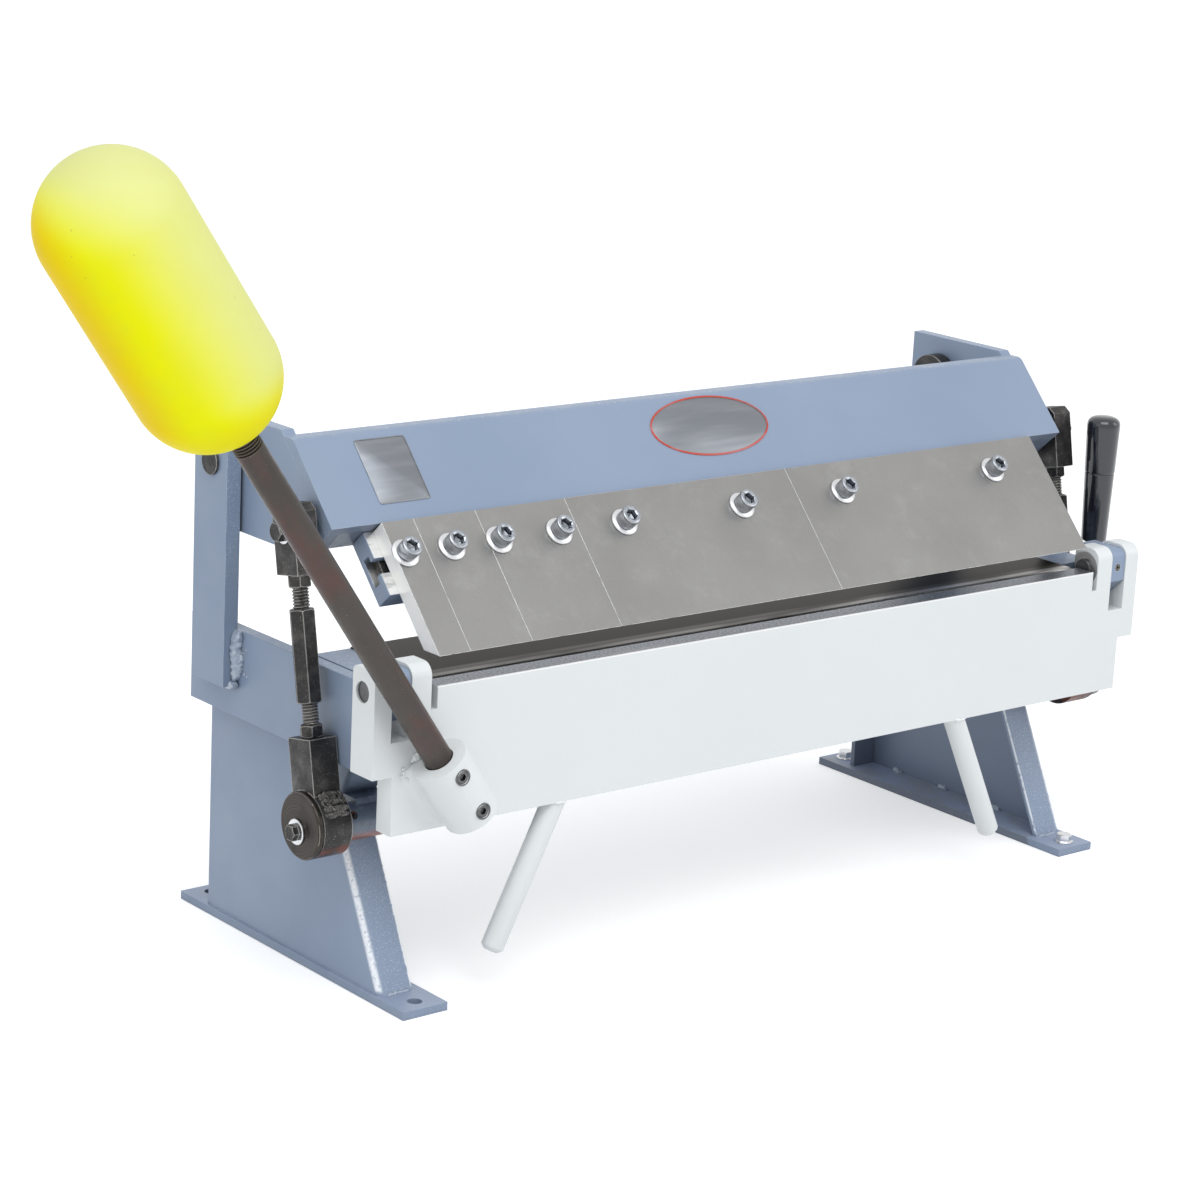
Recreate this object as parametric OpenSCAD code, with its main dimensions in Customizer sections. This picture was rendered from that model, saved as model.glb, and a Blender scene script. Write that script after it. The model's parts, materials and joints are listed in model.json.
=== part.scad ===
// Bench box and pan brake, 24 inch class, with its clamp open.
// Millimetres. X runs along the bed, Y goes away from the operator, Z is up.
// The origin is on the bench, midway between the four foot holes.

/* [Bed and frame] */
// Working width of the bed and the row of fingers
work_w = 609.6; // [560:0.1:660]
// Height of the bed's working face above the bench
bed_h = 225; // [222:0.5:228]
// Front to back size of the steel bed plate
bed_d = 88.5; // [80:0.5:92]
// Thickness of the steel bed plate
bed_t = 16; // [14:0.5:18]
// Radius of the bed plate's front edge
bed_r = 4.5; // [1:0.5:5]
// Free length beyond the fingers, up to the inside of an end plate
end_room = 28.7; // [28:0.1:30]
// Thickness of the end plates
end_t = 10.5; // [8:0.5:12]
// Height of the end plates
end_h = 62; // [56:1:64]
// Length of a foot plate, front to back
foot_l = 273; // [260:1:300]
// Distance of the bench bolt holes from the ends of a foot plate
foot_hole_in = 12.5; // [11:0.1:16]
// Width of a foot plate
foot_w = 36; // [34:1:40]
// Thickness of a foot plate
foot_t = 6; // [5:0.5:8]
// Diameter of the bench bolt holes
foot_hole_d = 10.3; // [8:0.1:11]
// Sheet thickness of the channel legs
leg_t = 4; // [3:0.5:5]
// Depth of the channel legs along the bed
leg_flange = 27; // [24:1:30]

/* [Clamping beam] */
// Opening between the finger tips and the bed with the clamp open
open_gap = 18; // [17.6:0.1:19]
// Slope of the finger faces above the bed
face_a = 47.15; // [46.5:0.05:48]
// Distance from the hinge line of the apron forward to the open finger tips
nose_fwd = 8.4; // [8.2:0.1:9]
// Thickness of the fingers
finger_t = 12.7; // [12:0.1:14]
// Length of the fingers along their slope
finger_l = 101; // [100:0.5:101.5]
// Width of the beam's sloping plate, up to its rounded top
plate_l = 74; // [70:0.5:76]
// Thickness of the beam's bent plate
plate_t = 8; // [6:0.5:9]
// Thickness of the beam's cheeks
cheek_t = 10; // [8:0.5:10]
// Diameter of the pins that the beam swings on
pivot_d = 15.9; // [14:0.1:18]

/* [Apron] */
// Length of the apron plate beyond the fingers, on each side
apron_over = 38.2; // [36:0.1:39.8]
// Height of the apron plate
apron_h = 96.5; // [90:0.5:98]
// Thickness of the apron plate
apron_t = 15.9; // [14:0.1:16]
// Diameter of the hinge pins
hinge_d = 14.3; // [12:0.1:15]
// Length of the pull handles below the apron
handle_l = 110.5; // [95:0.5:115]
// Diameter of the pull handles
handle_d = 15.9; // [12:0.1:16]
// Sideways splay of the pull handles
handle_a = 26.3; // [15:0.1:30]

/* [Counterweight] */
// Lean of the counterweight bar away from the machine
lean_a = 34.5; // [33:0.1:38]
// Diameter of the counterweight bar
bar_d = 19.05; // [16:0.05:20]
// Diameter of the counterweight
weight_d = 92; // [70:1:96]
// Overall length of the counterweight
weight_l = 204; // [150:1:220]
// Length of the welded socket
socket_l = 50; // [44:1:52]

/* [Clamp linkage] */
// Throw of the eccentrics
throw_e = 5.1; // [4.9:0.05:5.2]
// Angle of the throw above the front horizontal with the clamp open
throw_a = 60; // [58:1:62]
// Diameter of the eccentrics
eccentric_d = 36; // [35:0.5:37]
// Outside diameter of the eccentric straps and keeper discs
strap_d = 46; // [45:0.5:48]
// Diameter of the cross shaft
shaft_d = 25.4; // [24:0.1:26]
// Diameter of the shaft ends
journal_d = 19.05; // [18:0.05:20]
// Diameter of the link studs
stud_d = 9.5; // [8:0.1:10]
// Length of the turnbuckle
turnbuckle_l = 62; // [56:1:64]
// Length of the black grip
grip_l = 100; // [80:1:110]
// Diameter at the top of the grip
grip_d = 26; // [22:1:28]

/* [Hidden] */
// Facets of large and of small round parts
$fn = 24;
small_fn = 14;
// Running fit on a radius, gap at a weld or a seat, and overrun of a cut
fit = 0.05;
seat = 0.05;
over = 1;

// End plates: angle sections that stand outside the bed, above the legs
half_w = work_w / 2;
end_drop = 1.5;
end_front = -100;
end_back = 106.5;
end_in = half_w + end_room;
end_out = end_in + end_t;
end_z = bed_h - end_drop - end_h;

// Apron and its hinge line, at the height of the bed
hinge_y = -119.4;
hinge_z = bed_h;
apron_fwd = 13.5;
apron_front = hinge_y - apron_fwd;
apron_w = work_w + 2 * apron_over;
apron_back = apron_front + apron_t;
apron_z = bed_h - apron_h;

// Forked lugs of the apron, on both sides of the hinge blocks
block_w = 14.8;
block_play = 0.35;
lug_room = 9.2;
lug_w = 15.5;
outer_lug_w = 13.8;
lug_in = half_w + lug_room;
slot_in = lug_in + lug_w;
slot_w = block_w + 2 * block_play;
slot_out = slot_in + slot_w;
lug_out = slot_out + outer_lug_w;
lug_behind = 10.9;
lug_up = 16.2;
lug_down = 56;
slot_down = 33;
lug_front_r = 9;
lug_back_r = 4;
notch_w = 5;
notch_d = 15;
notch_in = lug_in - notch_w;

// Hinge blocks and their pins
block_x = slot_in + block_play;
block_fwd = 12.6;
block_up = 14;
block_down = 23;
block_r = 7;
block_cut = 12.5;
pin_inset = 2;
pin_recess = 1.5;
set_screw_d = 6;

// Bed channel under the steel plate
bed_play = 0.4;
bed_front = apron_back + bed_play;
bed_back = bed_front + bed_d;
channel_t = 12;
channel_web = 10;
channel_set = 2.5;
channel_short = 1;
channel_z = end_z + end_t;
channel_end = notch_in - channel_short;
pad_drop = 1;
bed_bolt_shares = [-0.45, -0.27, -0.09, 0.09, 0.27, 0.45];
bed_bolt_d = 10;
bed_bolt_head = 6.4;
bed_bolt_af = 16;
bed_bolt_in = 10;

// Clamp shaft, with its bearings in the legs, and the centre of its eccentrics
shaft_y = -68.6;
shaft_down = 106.5;
shaft = [shaft_y, bed_h - shaft_down];
ecc = shaft + throw_e * [-cos(throw_a), sin(throw_a)];

// Legs: channel sections, open inwards, with a waist at the shaft
leg_set = 16;
leg_foot_y = -106;
leg_waist_y = -50;
leg_top_y = -72;
leg_back = 106.4;
foot_proud = 2;
foot_hole_l = foot_l - 2 * foot_hole_in;
leg_out = end_out - leg_set;
leg_in = leg_out - leg_flange;
foot_out = leg_out + foot_proud;
foot_x = foot_out - foot_w / 2;

// Uprights beside the beam, and the pins in them
upright_w = 40;
upright_t = 11;
upright_shift = 0.8;
upright_down = 41;
upright_over = 20;
pivot_y = 67.7;
pivot_up = 113;
pivot = [pivot_y, bed_h + pivot_up];
pivot_head_d = 19;
pivot_head_t = 2.2;
pivot_end = 2;
collar_d = 38;
collar_t = 12;
collar_gap = 0.5;

// Fingers, laid out along their slope from the tips; widths from left to right
finger_shares = [1, 2, 3, 8, 10];
screw_shares = [[0.3], [0.39], [0.11, 0.78], [0.2, 0.73], [0.17, 0.78]];
nose = [hinge_y - nose_fwd, bed_h + open_gap];
slot_s = 76.3;

// Beam: one bent plate between two cheeks
plate_gap = 1;
plate_set = 3;
flange_d = 27;
beam_gap = 2;
cheek_over = 66;
cheek_back = 100;
plate_s = finger_l + plate_gap;
plate_n = -plate_set;
flange_n = plate_n - flange_d;
plate_end = plate_s + plate_l;
plate_top_r = 8;
beam_top = on_face(plate_end, plate_n)[1];
beam_out = end_out - beam_gap;
cheek_in = beam_out - cheek_t;

// Finger bar with its T-slot, and the fixings that slide in it
bar_over = 7.6;
bar_s = 54;
bar_t = 15.8;
bar_n = finger_t + seat;
mouth_w = 11;
mouth_d = 5.25;
tee_w = 20.6;
tee_d = 6.5;
tee_n = bar_n + mouth_d + tee_d;
nut_gap = 0.3;
nut_l = 18;
screw_d = 9.5;
screw_head_d = 14.3;
screw_head_l = 9.5;
screw_hex = 7.94;
screw_l = 24.4;
washer_d = 20.6;
washer_t = 1.8;
screw_hole_d = 10.6;

// Counterweight line: the top of the socket, and places along the bar from there
socket_d = 38;
socket_flat = 2;
socket_over = 14.2;
socket_down = 42.7;
socket_top = [
    -half_w - socket_over, apron_front - socket_d / 2 + socket_flat, bed_h - socket_down
];
bar_gap = 0.6;
bar_in = 46;
weight_at = 274.7;
weight_grip = 36;
neck_d = 17.2;
neck_l = 10;
socket_screw_d = 8.5;
socket_screw_short = 1;
socket_screw_shares = [0.2, 0.82];

// Pull handles under the apron
handle_left_x = -202;
handle_right_x = 176.5;
handle_end_r = 3;

// Ends of the clamp shaft: bearing, eccentric, keeper disc, bolt
boss_d = 26;
boss_back = 0.7;
boss_proud = 0.3;
boss_in = leg_in - boss_back;
boss_out = end_out + boss_proud;
boss_hole_d = 5.4;
boss_hole_a = 53;
saddle_up = 16;
saddle_down = 8;
shoulder_gap = 0.3;
shoulder = boss_in - shoulder_gap;
ecc_in = boss_out + shoulder_gap;
link_gap = 1;
strap_w = 22;
strap_in = end_out + link_gap;
keeper_gap = 0.3;
keeper_t = 4;
keeper_cut = 1;
keeper_in = strap_in + strap_w + keeper_gap;
keeper_out = keeper_in + keeper_t;
end_bolt_d = 6;
end_bolt_af = 10;
end_bolt_head = 4.6;
end_bolt_l = 20;
end_washer_d = 17.5;
end_washer_t = 1.8;

// Lever on the right end of the shaft
hub_d = 36;
hub_w = 14;
hub_in = keeper_out + seat;
hub_out = hub_in + hub_w;
lever_d = 12.7;
lever_short = 1;
grip_over = 3;
grip_z = bed_h + grip_over;
grip_bottom_d = 20;
grip_cut = 1;
grip_cap = 20;

// Links: heights are measured from the eccentric along the link
link_top_y = -35;
link_top_up = 88;
link_top = [link_top_y, bed_h + link_top_up];
link_v = link_top - ecc;
link_l = norm(link_v);
link_a = atan2(link_v[0], link_v[1]);
link_x = strap_in + strap_w / 2;
strap_block_w = 21;
strap_block_d = 25;
strap_block_end = 57;
eye_block_w = 18;
eye_block_d = 24.5;
eye_block_l = 46.9;
eye_below = 29.4;
eye_cut = 5;
eye_at = link_l - eye_below;
turnbuckle_at = 79.6;
hex_af = 15.9;
nut_af = 14.3;
nut_h = 8.3;
stud_in = 20;
// The upper eye is the open pivot of the linkage: its bore is wider than the
// pin, and off the pin by the middle of the drift between the two paths
link_pin_d = 8;
eye_play = 1.6;
eye_shift_y = 1;
link_pin_flange_d = 17;
link_pin_flange_t = 1.5;
link_pin_head = 5.6;
link_pin_af = 12;

// Point at s up the finger face from its tip and n out from the face
function on_face(s, n) =
    nose + s * [cos(face_a), sin(face_a)] + n * [-sin(face_a), cos(face_a)];

// Points of an arc, for outlines
function arc(c, r, from, to, steps = 6) =
    [for (i = [0 : steps]) let (a = from + (to - from) * i / steps) c + r * [cos(a), sin(a)]];

// Width and left edge of finger i, and the places of its screws
function sum(v, i = 0) = i == len(v) ? 0 : v[i] + sum(v, i + 1);
function finger_w(i) = work_w * finger_shares[i] / sum(finger_shares);
function finger_x(i) = i == 0 ? -half_w : finger_x(i - 1) + finger_w(i - 1);
function screw_xs(i) = [for (s = screw_shares[i]) finger_x(i) + s * finger_w(i)];
last = len(finger_shares) - 1;
inner_screws = [for (i = [1 : last - 1]) each screw_xs(i)];

// An outline in Y and Z, extruded along X
module across(x, w) {
    translate([x, 0, 0]) rotate([90, 0, 90]) linear_extrude(w) children();
}

// A round bar along X, about the point p in Y and Z
module bar_x(x, l, d, p) {
    translate([x, p[0], p[1]]) rotate([0, 90, 0]) cylinder(h = l, d = d);
}

// A hexagon along X, about the point p in Y and Z
module hex_x(x, l, af, p) {
    translate([x, p[0], p[1]]) rotate([0, 90, 0]) cylinder(h = l, d = af / cos(30), $fn = 6);
}

// Right-hand pieces are drawn, and the left-hand ones mirror them
module on_side(left) {
    mirror([left ? 1 : 0, 0, 0]) children();
}

module both_sides() {
    children();
    mirror([1, 0, 0]) children();
}

// Frame along the finger face: Y runs up the slope, Z points out of the face
module on_slope() {
    translate([0, nose[0], nose[1]]) rotate([face_a, 0, 0]) children();
}

// Frame along a link, from the eccentric up to the pin in the beam
module on_link() {
    translate([link_x, ecc[0], ecc[1]]) rotate([-link_a, 0, 0]) children();
}

// Frame along the counterweight bar, upwards from the top of the socket
module on_bar() {
    translate(socket_top) rotate([0, -lean_a, 0]) children();
}

// Outline of a leg's web, moved in by w on its bent edges
module leg_outline(w) {
    polygon([
        [leg_foot_y + w, foot_t], [leg_waist_y + w, shaft[1]], [leg_top_y + w, end_z],
        [leg_back - w, end_z], [leg_back - w, foot_t]
    ]);
}

module leg(left) {
    color([0.53, 0.58, 0.67]) on_side(left) difference() {
        union() {
            difference() {
                across(leg_in, leg_flange) leg_outline(0);
                across(leg_in - over, leg_flange - leg_t + over) leg_outline(leg_t);
            }
            translate([foot_out - foot_w, -foot_l / 2, 0]) cube([foot_w, foot_l, foot_t]);
        }
        for (y = [-foot_hole_l / 2, foot_hole_l / 2])
            translate([foot_x, y, -over]) cylinder(h = foot_t + 2 * over, d = foot_hole_d);
    }
}

// A tube on a saddle in the waist of a leg, with a grease hole in its front
module shaft_bearing(left) {
    color([0.49, 0.56, 0.64]) on_side(left) difference() {
        union() {
            bar_x(boss_in, boss_out - boss_in, boss_d, shaft);
            across(leg_in, leg_flange) polygon([
                [shaft[0] - boss_d / 4, shaft[1] + boss_d / 4],
                [leg_top_y, shaft[1] + saddle_up], [leg_waist_y, shaft[1] + saddle_up],
                [leg_waist_y, shaft[1] - saddle_down], [shaft[0], shaft[1] - saddle_down]
            ]);
        }
        across(leg_in - over, leg_flange + 2 * over) leg_outline(-seat);
        bar_x(boss_in - over, boss_out - boss_in + 2 * over, journal_d + 2 * fit, shaft);
        translate([leg_out + boss_hole_d, shaft[0], shaft[1]]) rotate([boss_hole_a, 0, 0])
            cylinder(h = boss_d, d = boss_hole_d);
    }
}

module end_plate(left) {
    color([0.53, 0.58, 0.67]) on_side(left) union() {
        translate([end_in, end_front, end_z]) cube([end_t, end_back - end_front, end_h]);
        translate([leg_in, end_front, end_z])
            cube([end_in - leg_in + over, end_back - end_front, end_t - seat]);
    }
}

module bed_channel() {
    top = bed_h - bed_t;
    front = bed_front + channel_set;
    color([0.53, 0.58, 0.67]) difference() {
        union() {
            translate([-channel_end, front, channel_z])
                cube([2 * channel_end, bed_back - front, top - channel_z]);
            translate([seat - end_in, end_front, channel_z])
                cube([2 * (end_in - seat), bed_back - end_front, top - channel_z]);
            both_sides() translate([half_w + seat, end_front, channel_z])
                cube([end_in - half_w - 2 * seat, bed_back - end_front,
                      bed_h - pad_drop - channel_z]);
        }
        translate([-channel_end, front + channel_web, channel_z - over])
            cube([2 * channel_end, bed_back - front - 2 * channel_web,
                  top - channel_t - channel_z + over]);
        for (s = bed_bolt_shares)
            translate([s * work_w, (bed_front + bed_back) / 2, channel_z])
                cylinder(h = bed_h, d = bed_bolt_d + 4 * fit);
    }
}

module bed_plate() {
    color([0.30, 0.31, 0.32]) difference() {
        across(-half_w, work_w) polygon(concat(
            [[bed_front, bed_h - bed_t], [bed_back, bed_h - bed_t], [bed_back, bed_h]],
            arc([bed_front + bed_r, bed_h - bed_r], bed_r, 90, 180)));
        for (s = bed_bolt_shares)
            translate([s * work_w, (bed_front + bed_back) / 2, bed_h - bed_t - over])
                cylinder(h = bed_bolt_in + 2 * over, d = bed_bolt_d + 2 * fit);
    }
}

// Bolts that come up through the channel into blind holes in the bed plate
module bed_bolts() {
    $fn = small_fn;
    color([0.45, 0.46, 0.48]) for (s = bed_bolt_shares)
        translate([s * work_w, (bed_front + bed_back) / 2, bed_h - bed_t - channel_t]) {
            cylinder(h = channel_t + bed_bolt_in, d = bed_bolt_d);
            translate([0, 0, -bed_bolt_head])
                cylinder(h = bed_bolt_head, d = bed_bolt_af / cos(30), $fn = 6);
        }
}

module upright(left) {
    color([0.53, 0.58, 0.67]) on_side(left) difference() {
        translate([end_out, pivot[0] + upright_shift - upright_w / 2, bed_h - upright_down])
            cube([upright_t, upright_w, pivot_up + upright_over + upright_down]);
        bar_x(end_out - over, upright_t + 2 * over, pivot_d + 2 * fit, pivot);
    }
}

module hinge_block(left) {
    front = hinge_y - block_fwd;
    top = hinge_z + block_up;
    low = hinge_z - block_down;
    color([0.56, 0.61, 0.70]) on_side(left) difference() {
        across(block_x, block_w) polygon(concat(
            [[front, low + block_cut], [front + block_cut, low], [end_front, low],
             [end_front, top]],
            arc([front + block_r, top - block_r], block_r, 90, 180)));
        bar_x(block_x - over, block_w + 2 * over, hinge_d + 2 * fit, [hinge_y, hinge_z]);
        translate([block_x + block_w / 2, front - over, hinge_z]) rotate([-90, 0, 0])
            cylinder(h = block_fwd + over, d = set_screw_d + 2 * fit);
    }
}

module hinge_pins() {
    color([0.42, 0.42, 0.43]) both_sides()
        bar_x(notch_in + pin_inset, lug_out - pin_recess - notch_in - pin_inset, hinge_d,
              [hinge_y, hinge_z]);
}

// Socket set screws that lock the hinge pins in their blocks
module hinge_set_screws() {
    $fn = small_fn;
    l = block_fwd - hinge_d / 2 - 2 * fit;
    color([0.12, 0.12, 0.13]) both_sides()
        translate([block_x + block_w / 2, hinge_y - block_fwd, hinge_z]) rotate([-90, 0, 0])
            difference() {
                cylinder(h = l, d = set_screw_d);
                translate([0, 0, -over]) cylinder(h = l / 2 + over, d = set_screw_d / 2, $fn = 6);
            }
}

module pivot_pins() {
    in = cheek_in - collar_gap - collar_t - pivot_end;
    out = end_out + upright_t;
    color([0.20, 0.20, 0.21]) both_sides() union() {
        bar_x(out + seat, pivot_head_t, pivot_head_d, pivot);
        bar_x(in, out + pivot_head_t - in, pivot_d, pivot);
    }
}

module pivot_collars() {
    in = cheek_in - collar_gap - collar_t;
    color([0.13, 0.13, 0.14]) both_sides() difference() {
        bar_x(in, collar_t, collar_d, pivot);
        bar_x(in - over, collar_t + 2 * over, pivot_d + 2 * fit, pivot);
    }
}

// The beam's plate: its lower edge is bent back between the cheeks, behind the
// upper ends of the fingers, and its upper edge is rounded and level
module beam_plate() {
    top_c = on_face(plate_end - plate_top_r * tan(face_a / 2), plate_n - plate_top_r);
    color([0.61, 0.69, 0.80]) union() {
        across(-beam_out, 2 * beam_out) polygon(concat(
            [on_face(plate_s, plate_n - plate_t), on_face(plate_s, plate_n)],
            arc(top_c, plate_top_r, 90 + face_a, 90),
            [on_face(plate_end + plate_t / tan(face_a), plate_n - plate_t)]));
        across(seat - cheek_in, 2 * (cheek_in - seat)) polygon([
            on_face(plate_s, plate_n - over), on_face(plate_s, flange_n),
            on_face(plate_s + plate_t, flange_n), on_face(plate_s + plate_t, plate_n - over)
        ]);
    }
}

module beam_cheek(left) {
    n = plate_n - plate_t - seat;
    n_low = (bed_h + cheek_over - nose[1] - plate_s * sin(face_a)) / cos(face_a);
    color([0.53, 0.58, 0.67]) on_side(left) difference() {
        across(cheek_in, cheek_t) polygon([
            on_face(plate_s, n), on_face(plate_s, n_low), [cheek_back, bed_h + cheek_over],
            [cheek_back, beam_top], on_face(plate_end + (plate_t + seat) / tan(face_a), n)
        ]);
        bar_x(cheek_in - over, cheek_t + 2 * over, pivot_d + 2 * fit, pivot);
        bar_x(cheek_in - over, cheek_t + 2 * over, link_pin_d + 2 * fit, link_top);
    }
}

module finger_bar() {
    l = 2 * (half_w + bar_over);
    color([0.50, 0.55, 0.64]) on_slope() difference() {
        translate([-l / 2, bar_s, -bar_n - bar_t]) cube([l, plate_s - seat - bar_s, bar_t]);
        translate([-l / 2 - over, slot_s - mouth_w / 2, -bar_n - mouth_d - seat])
            cube([l + 2 * over, mouth_w, mouth_d + over]);
        translate([-l / 2 - over, slot_s - tee_w / 2, -tee_n])
            cube([l + 2 * over, tee_w, tee_d]);
    }
}

// Bolts that carry the links: fast in the cheeks, free in the upper eyes
module link_pins() {
    $fn = small_fn;
    out = link_x + eye_block_w / 2 + seat;
    color([0.16, 0.16, 0.17]) both_sides() union() {
        bar_x(cheek_in, out - cheek_in + link_pin_flange_t, link_pin_d, link_top);
        bar_x(out, link_pin_flange_t, link_pin_flange_d, link_top);
        hex_x(out + link_pin_flange_t, link_pin_head, link_pin_af, link_top);
    }
}

module finger(i) {
    color([0.64, 0.64, 0.62]) difference() {
        across(finger_x(i) + seat, finger_w(i) - 2 * seat) polygon([
            nose, on_face(finger_t / tan(face_a), -finger_t),
            on_face(finger_l, -finger_t), on_face(finger_l, 0)
        ]);
        for (x = screw_xs(i)) on_slope() translate([x, slot_s, -finger_t - over])
            cylinder(h = finger_t + 2 * over, d = screw_hole_d);
    }
}

// T-nuts in the slot of the finger bar
module tee_nuts(xs) {
    $fn = small_fn;
    on_slope() for (x = xs) translate([x, slot_s, -tee_n]) difference() {
        translate([-nut_l / 2, nut_gap - tee_w / 2, nut_gap])
            cube([nut_l, tee_w - 2 * nut_gap, tee_d - 2 * nut_gap]);
        cylinder(h = tee_d, d = screw_d + 2 * fit);
    }
}

module cap_screws(xs) {
    $fn = small_fn;
    on_slope() for (x = xs) translate([x, slot_s, washer_t + 2 * seat]) difference() {
        union() {
            cylinder(h = screw_head_l, d = screw_head_d);
            translate([0, 0, -screw_l]) cylinder(h = screw_l + over, d = screw_d);
        }
        translate([0, 0, screw_head_l / 2])
            cylinder(h = screw_head_l, d = screw_hex / cos(30), $fn = 6);
    }
}

module washers(xs) {
    $fn = small_fn;
    on_slope() for (x = xs) translate([x, slot_s, seat]) difference() {
        cylinder(h = washer_t, d = washer_d);
        translate([0, 0, -over]) cylinder(h = washer_t + 2 * over, d = screw_d + 2 * fit);
    }
}

// The screws, washers and nuts of an outer finger, which slides on its own
module fixings(xs) {
    color([0.75, 0.75, 0.76]) {
        cap_screws(xs);
        washers(xs);
        tee_nuts(xs);
    }
}

module lug_outline() {
    front_c = [apron_front + lug_front_r, hinge_z + lug_up - lug_front_r];
    back_c = [hinge_y + lug_behind - lug_back_r, hinge_z + lug_up - lug_back_r];
    polygon(concat(
        [[apron_front, hinge_z - lug_down], [hinge_y + lug_behind, hinge_z - lug_down]],
        arc(back_c, lug_back_r, 0, 90), arc(front_c, lug_front_r, 90, 180)));
}

// The bending leaf: a plate with two forked lugs that stand over the hinge line
module apron() {
    slot_z = hinge_z - slot_down;
    color([0.89, 0.92, 0.93]) difference() {
        union() {
            translate([-apron_w / 2, apron_front, apron_z])
                cube([apron_w, apron_t, apron_h - notch_d]);
            translate([-notch_in, apron_front, apron_z]) cube([2 * notch_in, apron_t, apron_h]);
            both_sides() across(lug_in, lug_out - lug_in) lug_outline();
        }
        both_sides() {
            translate([slot_in, apron_front - over, slot_z])
                cube([slot_w, apron_fwd + lug_behind + 2 * over, slot_down + lug_up + over]);
            bar_x(lug_in - over, lug_out - lug_in + 2 * over, hinge_d + 2 * fit,
                  [hinge_y, hinge_z]);
        }
    }
}

// A pull handle, welded under the apron's lower edge; dir is -1 to the left
module handle(x, dir) {
    y = apron_front + apron_t / 2;
    color([0.89, 0.92, 0.93]) intersection() {
        translate([x, y, apron_z]) rotate([0, 180 - dir * handle_a, 0])
            translate([0, 0, -handle_d]) {
                cylinder(h = handle_l + handle_d - handle_end_r, d = handle_d);
                translate([0, 0, handle_l + handle_d - handle_end_r])
                    cylinder(h = handle_end_r, d1 = handle_d, d2 = handle_d - 2 * handle_end_r);
            }
        translate([x - handle_l, y - handle_d, apron_z - handle_l - handle_d])
            cube([2 * handle_l, 2 * handle_d, handle_l + handle_d - seat]);
    }
}

// The welded socket, flattened where it lies on the apron
module socket() {
    color([0.89, 0.92, 0.93]) difference() {
        on_bar() translate([0, 0, -socket_l]) cylinder(h = socket_l, d = socket_d);
        on_bar() translate([0, 0, -socket_l - over])
            cylinder(h = socket_l + 2 * over, d = bar_d + 2 * bar_gap);
        on_bar() for (s = socket_screw_shares) translate([0, 0, -s * socket_l])
            rotate([90, 0, 0]) cylinder(h = socket_d, d = socket_screw_d + 2 * fit);
        translate([-apron_w, apron_front - seat, 0]) cube([apron_w, socket_d, bed_h]);
    }
}

module socket_set_screws() {
    $fn = small_fn;
    l = (socket_d - bar_d) / 2 - socket_screw_short;
    color([0.15, 0.15, 0.16]) on_bar() for (s = socket_screw_shares)
        translate([0, -bar_d / 2 - seat, -s * socket_l]) rotate([90, 0, 0]) difference() {
            cylinder(h = l, d = socket_screw_d);
            translate([0, 0, l / 2]) cylinder(h = l, d = socket_screw_d / 2, $fn = 6);
        }
}

module counterweight_bar() {
    color([0.28, 0.25, 0.23]) on_bar() {
        translate([0, 0, -bar_in]) cylinder(h = bar_in + weight_at - neck_l, d = bar_d);
        translate([0, 0, weight_at - neck_l])
            cylinder(h = neck_l + weight_grip - over, d = neck_d);
    }
}

// A capsule with a blind hole for the bar's threaded end
module counterweight() {
    r = weight_d / 2;
    color([0.93, 0.89, 0.12]) on_bar() difference() {
        rotate_extrude() polygon(concat(
            arc([0, weight_at + r], r, -90, 0, 10),
            arc([0, weight_at + weight_l - r], r, 0, 90, 10)));
        translate([0, 0, weight_at - over])
            cylinder(h = weight_grip + over, d = neck_d + 2 * fit);
    }
}

module cross_shaft() {
    bolt_hole = end_bolt_d + 2 * fit;
    color([0.45, 0.45, 0.46]) difference() {
        union() {
            bar_x(-shoulder, 2 * shoulder, shaft_d, shaft);
            bar_x(seat - keeper_in, keeper_in + hub_out - 2 * seat, journal_d, shaft);
        }
        bar_x(-keeper_in - over, end_bolt_l + 2 * over, bolt_hole, shaft);
        bar_x(hub_out - end_bolt_l - over, end_bolt_l + 2 * over, bolt_hole, shaft);
    }
}

module eccentric(left) {
    color([0.35, 0.35, 0.36]) on_side(left) difference() {
        bar_x(ecc_in, keeper_in - seat - ecc_in, eccentric_d, ecc);
        bar_x(ecc_in - over, strap_w + 3 * over, journal_d + 2 * fit, shaft);
    }
}

// Keeper discs hold the straps on the eccentrics; the lever's hub lies on the right one
module keeper(left) {
    bore = left ? end_bolt_d : journal_d;
    color([0.24, 0.23, 0.21]) on_side(left) difference() {
        union() {
            bar_x(keeper_in, keeper_t - keeper_cut, strap_d, ecc);
            translate([keeper_out - keeper_cut, ecc[0], ecc[1]]) rotate([0, 90, 0])
                cylinder(h = keeper_cut, d1 = strap_d, d2 = strap_d - 2 * keeper_cut);
        }
        bar_x(keeper_in - over, keeper_t + 2 * over, bore + 2 * fit, shaft);
    }
}

module shaft_washers() {
    $fn = small_fn;
    color([0.80, 0.80, 0.79]) for (x = [-keeper_out - end_washer_t - seat, hub_out + seat])
        difference() {
            bar_x(x, end_washer_t, end_washer_d, shaft);
            bar_x(x - over, end_washer_t + 2 * over, end_bolt_d + 2 * fit, shaft);
        }
}

module shaft_bolts() {
    $fn = small_fn;
    left = -keeper_out - end_washer_t - 2 * seat;
    right = hub_out + end_washer_t + 2 * seat;
    color([0.70, 0.70, 0.70]) {
        bar_x(left, end_bolt_l, end_bolt_d, shaft);
        hex_x(left - end_bolt_head, end_bolt_head, end_bolt_af, shaft);
        bar_x(right - end_bolt_l, end_bolt_l, end_bolt_d, shaft);
        hex_x(right, end_bolt_head, end_bolt_af, shaft);
    }
}

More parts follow.
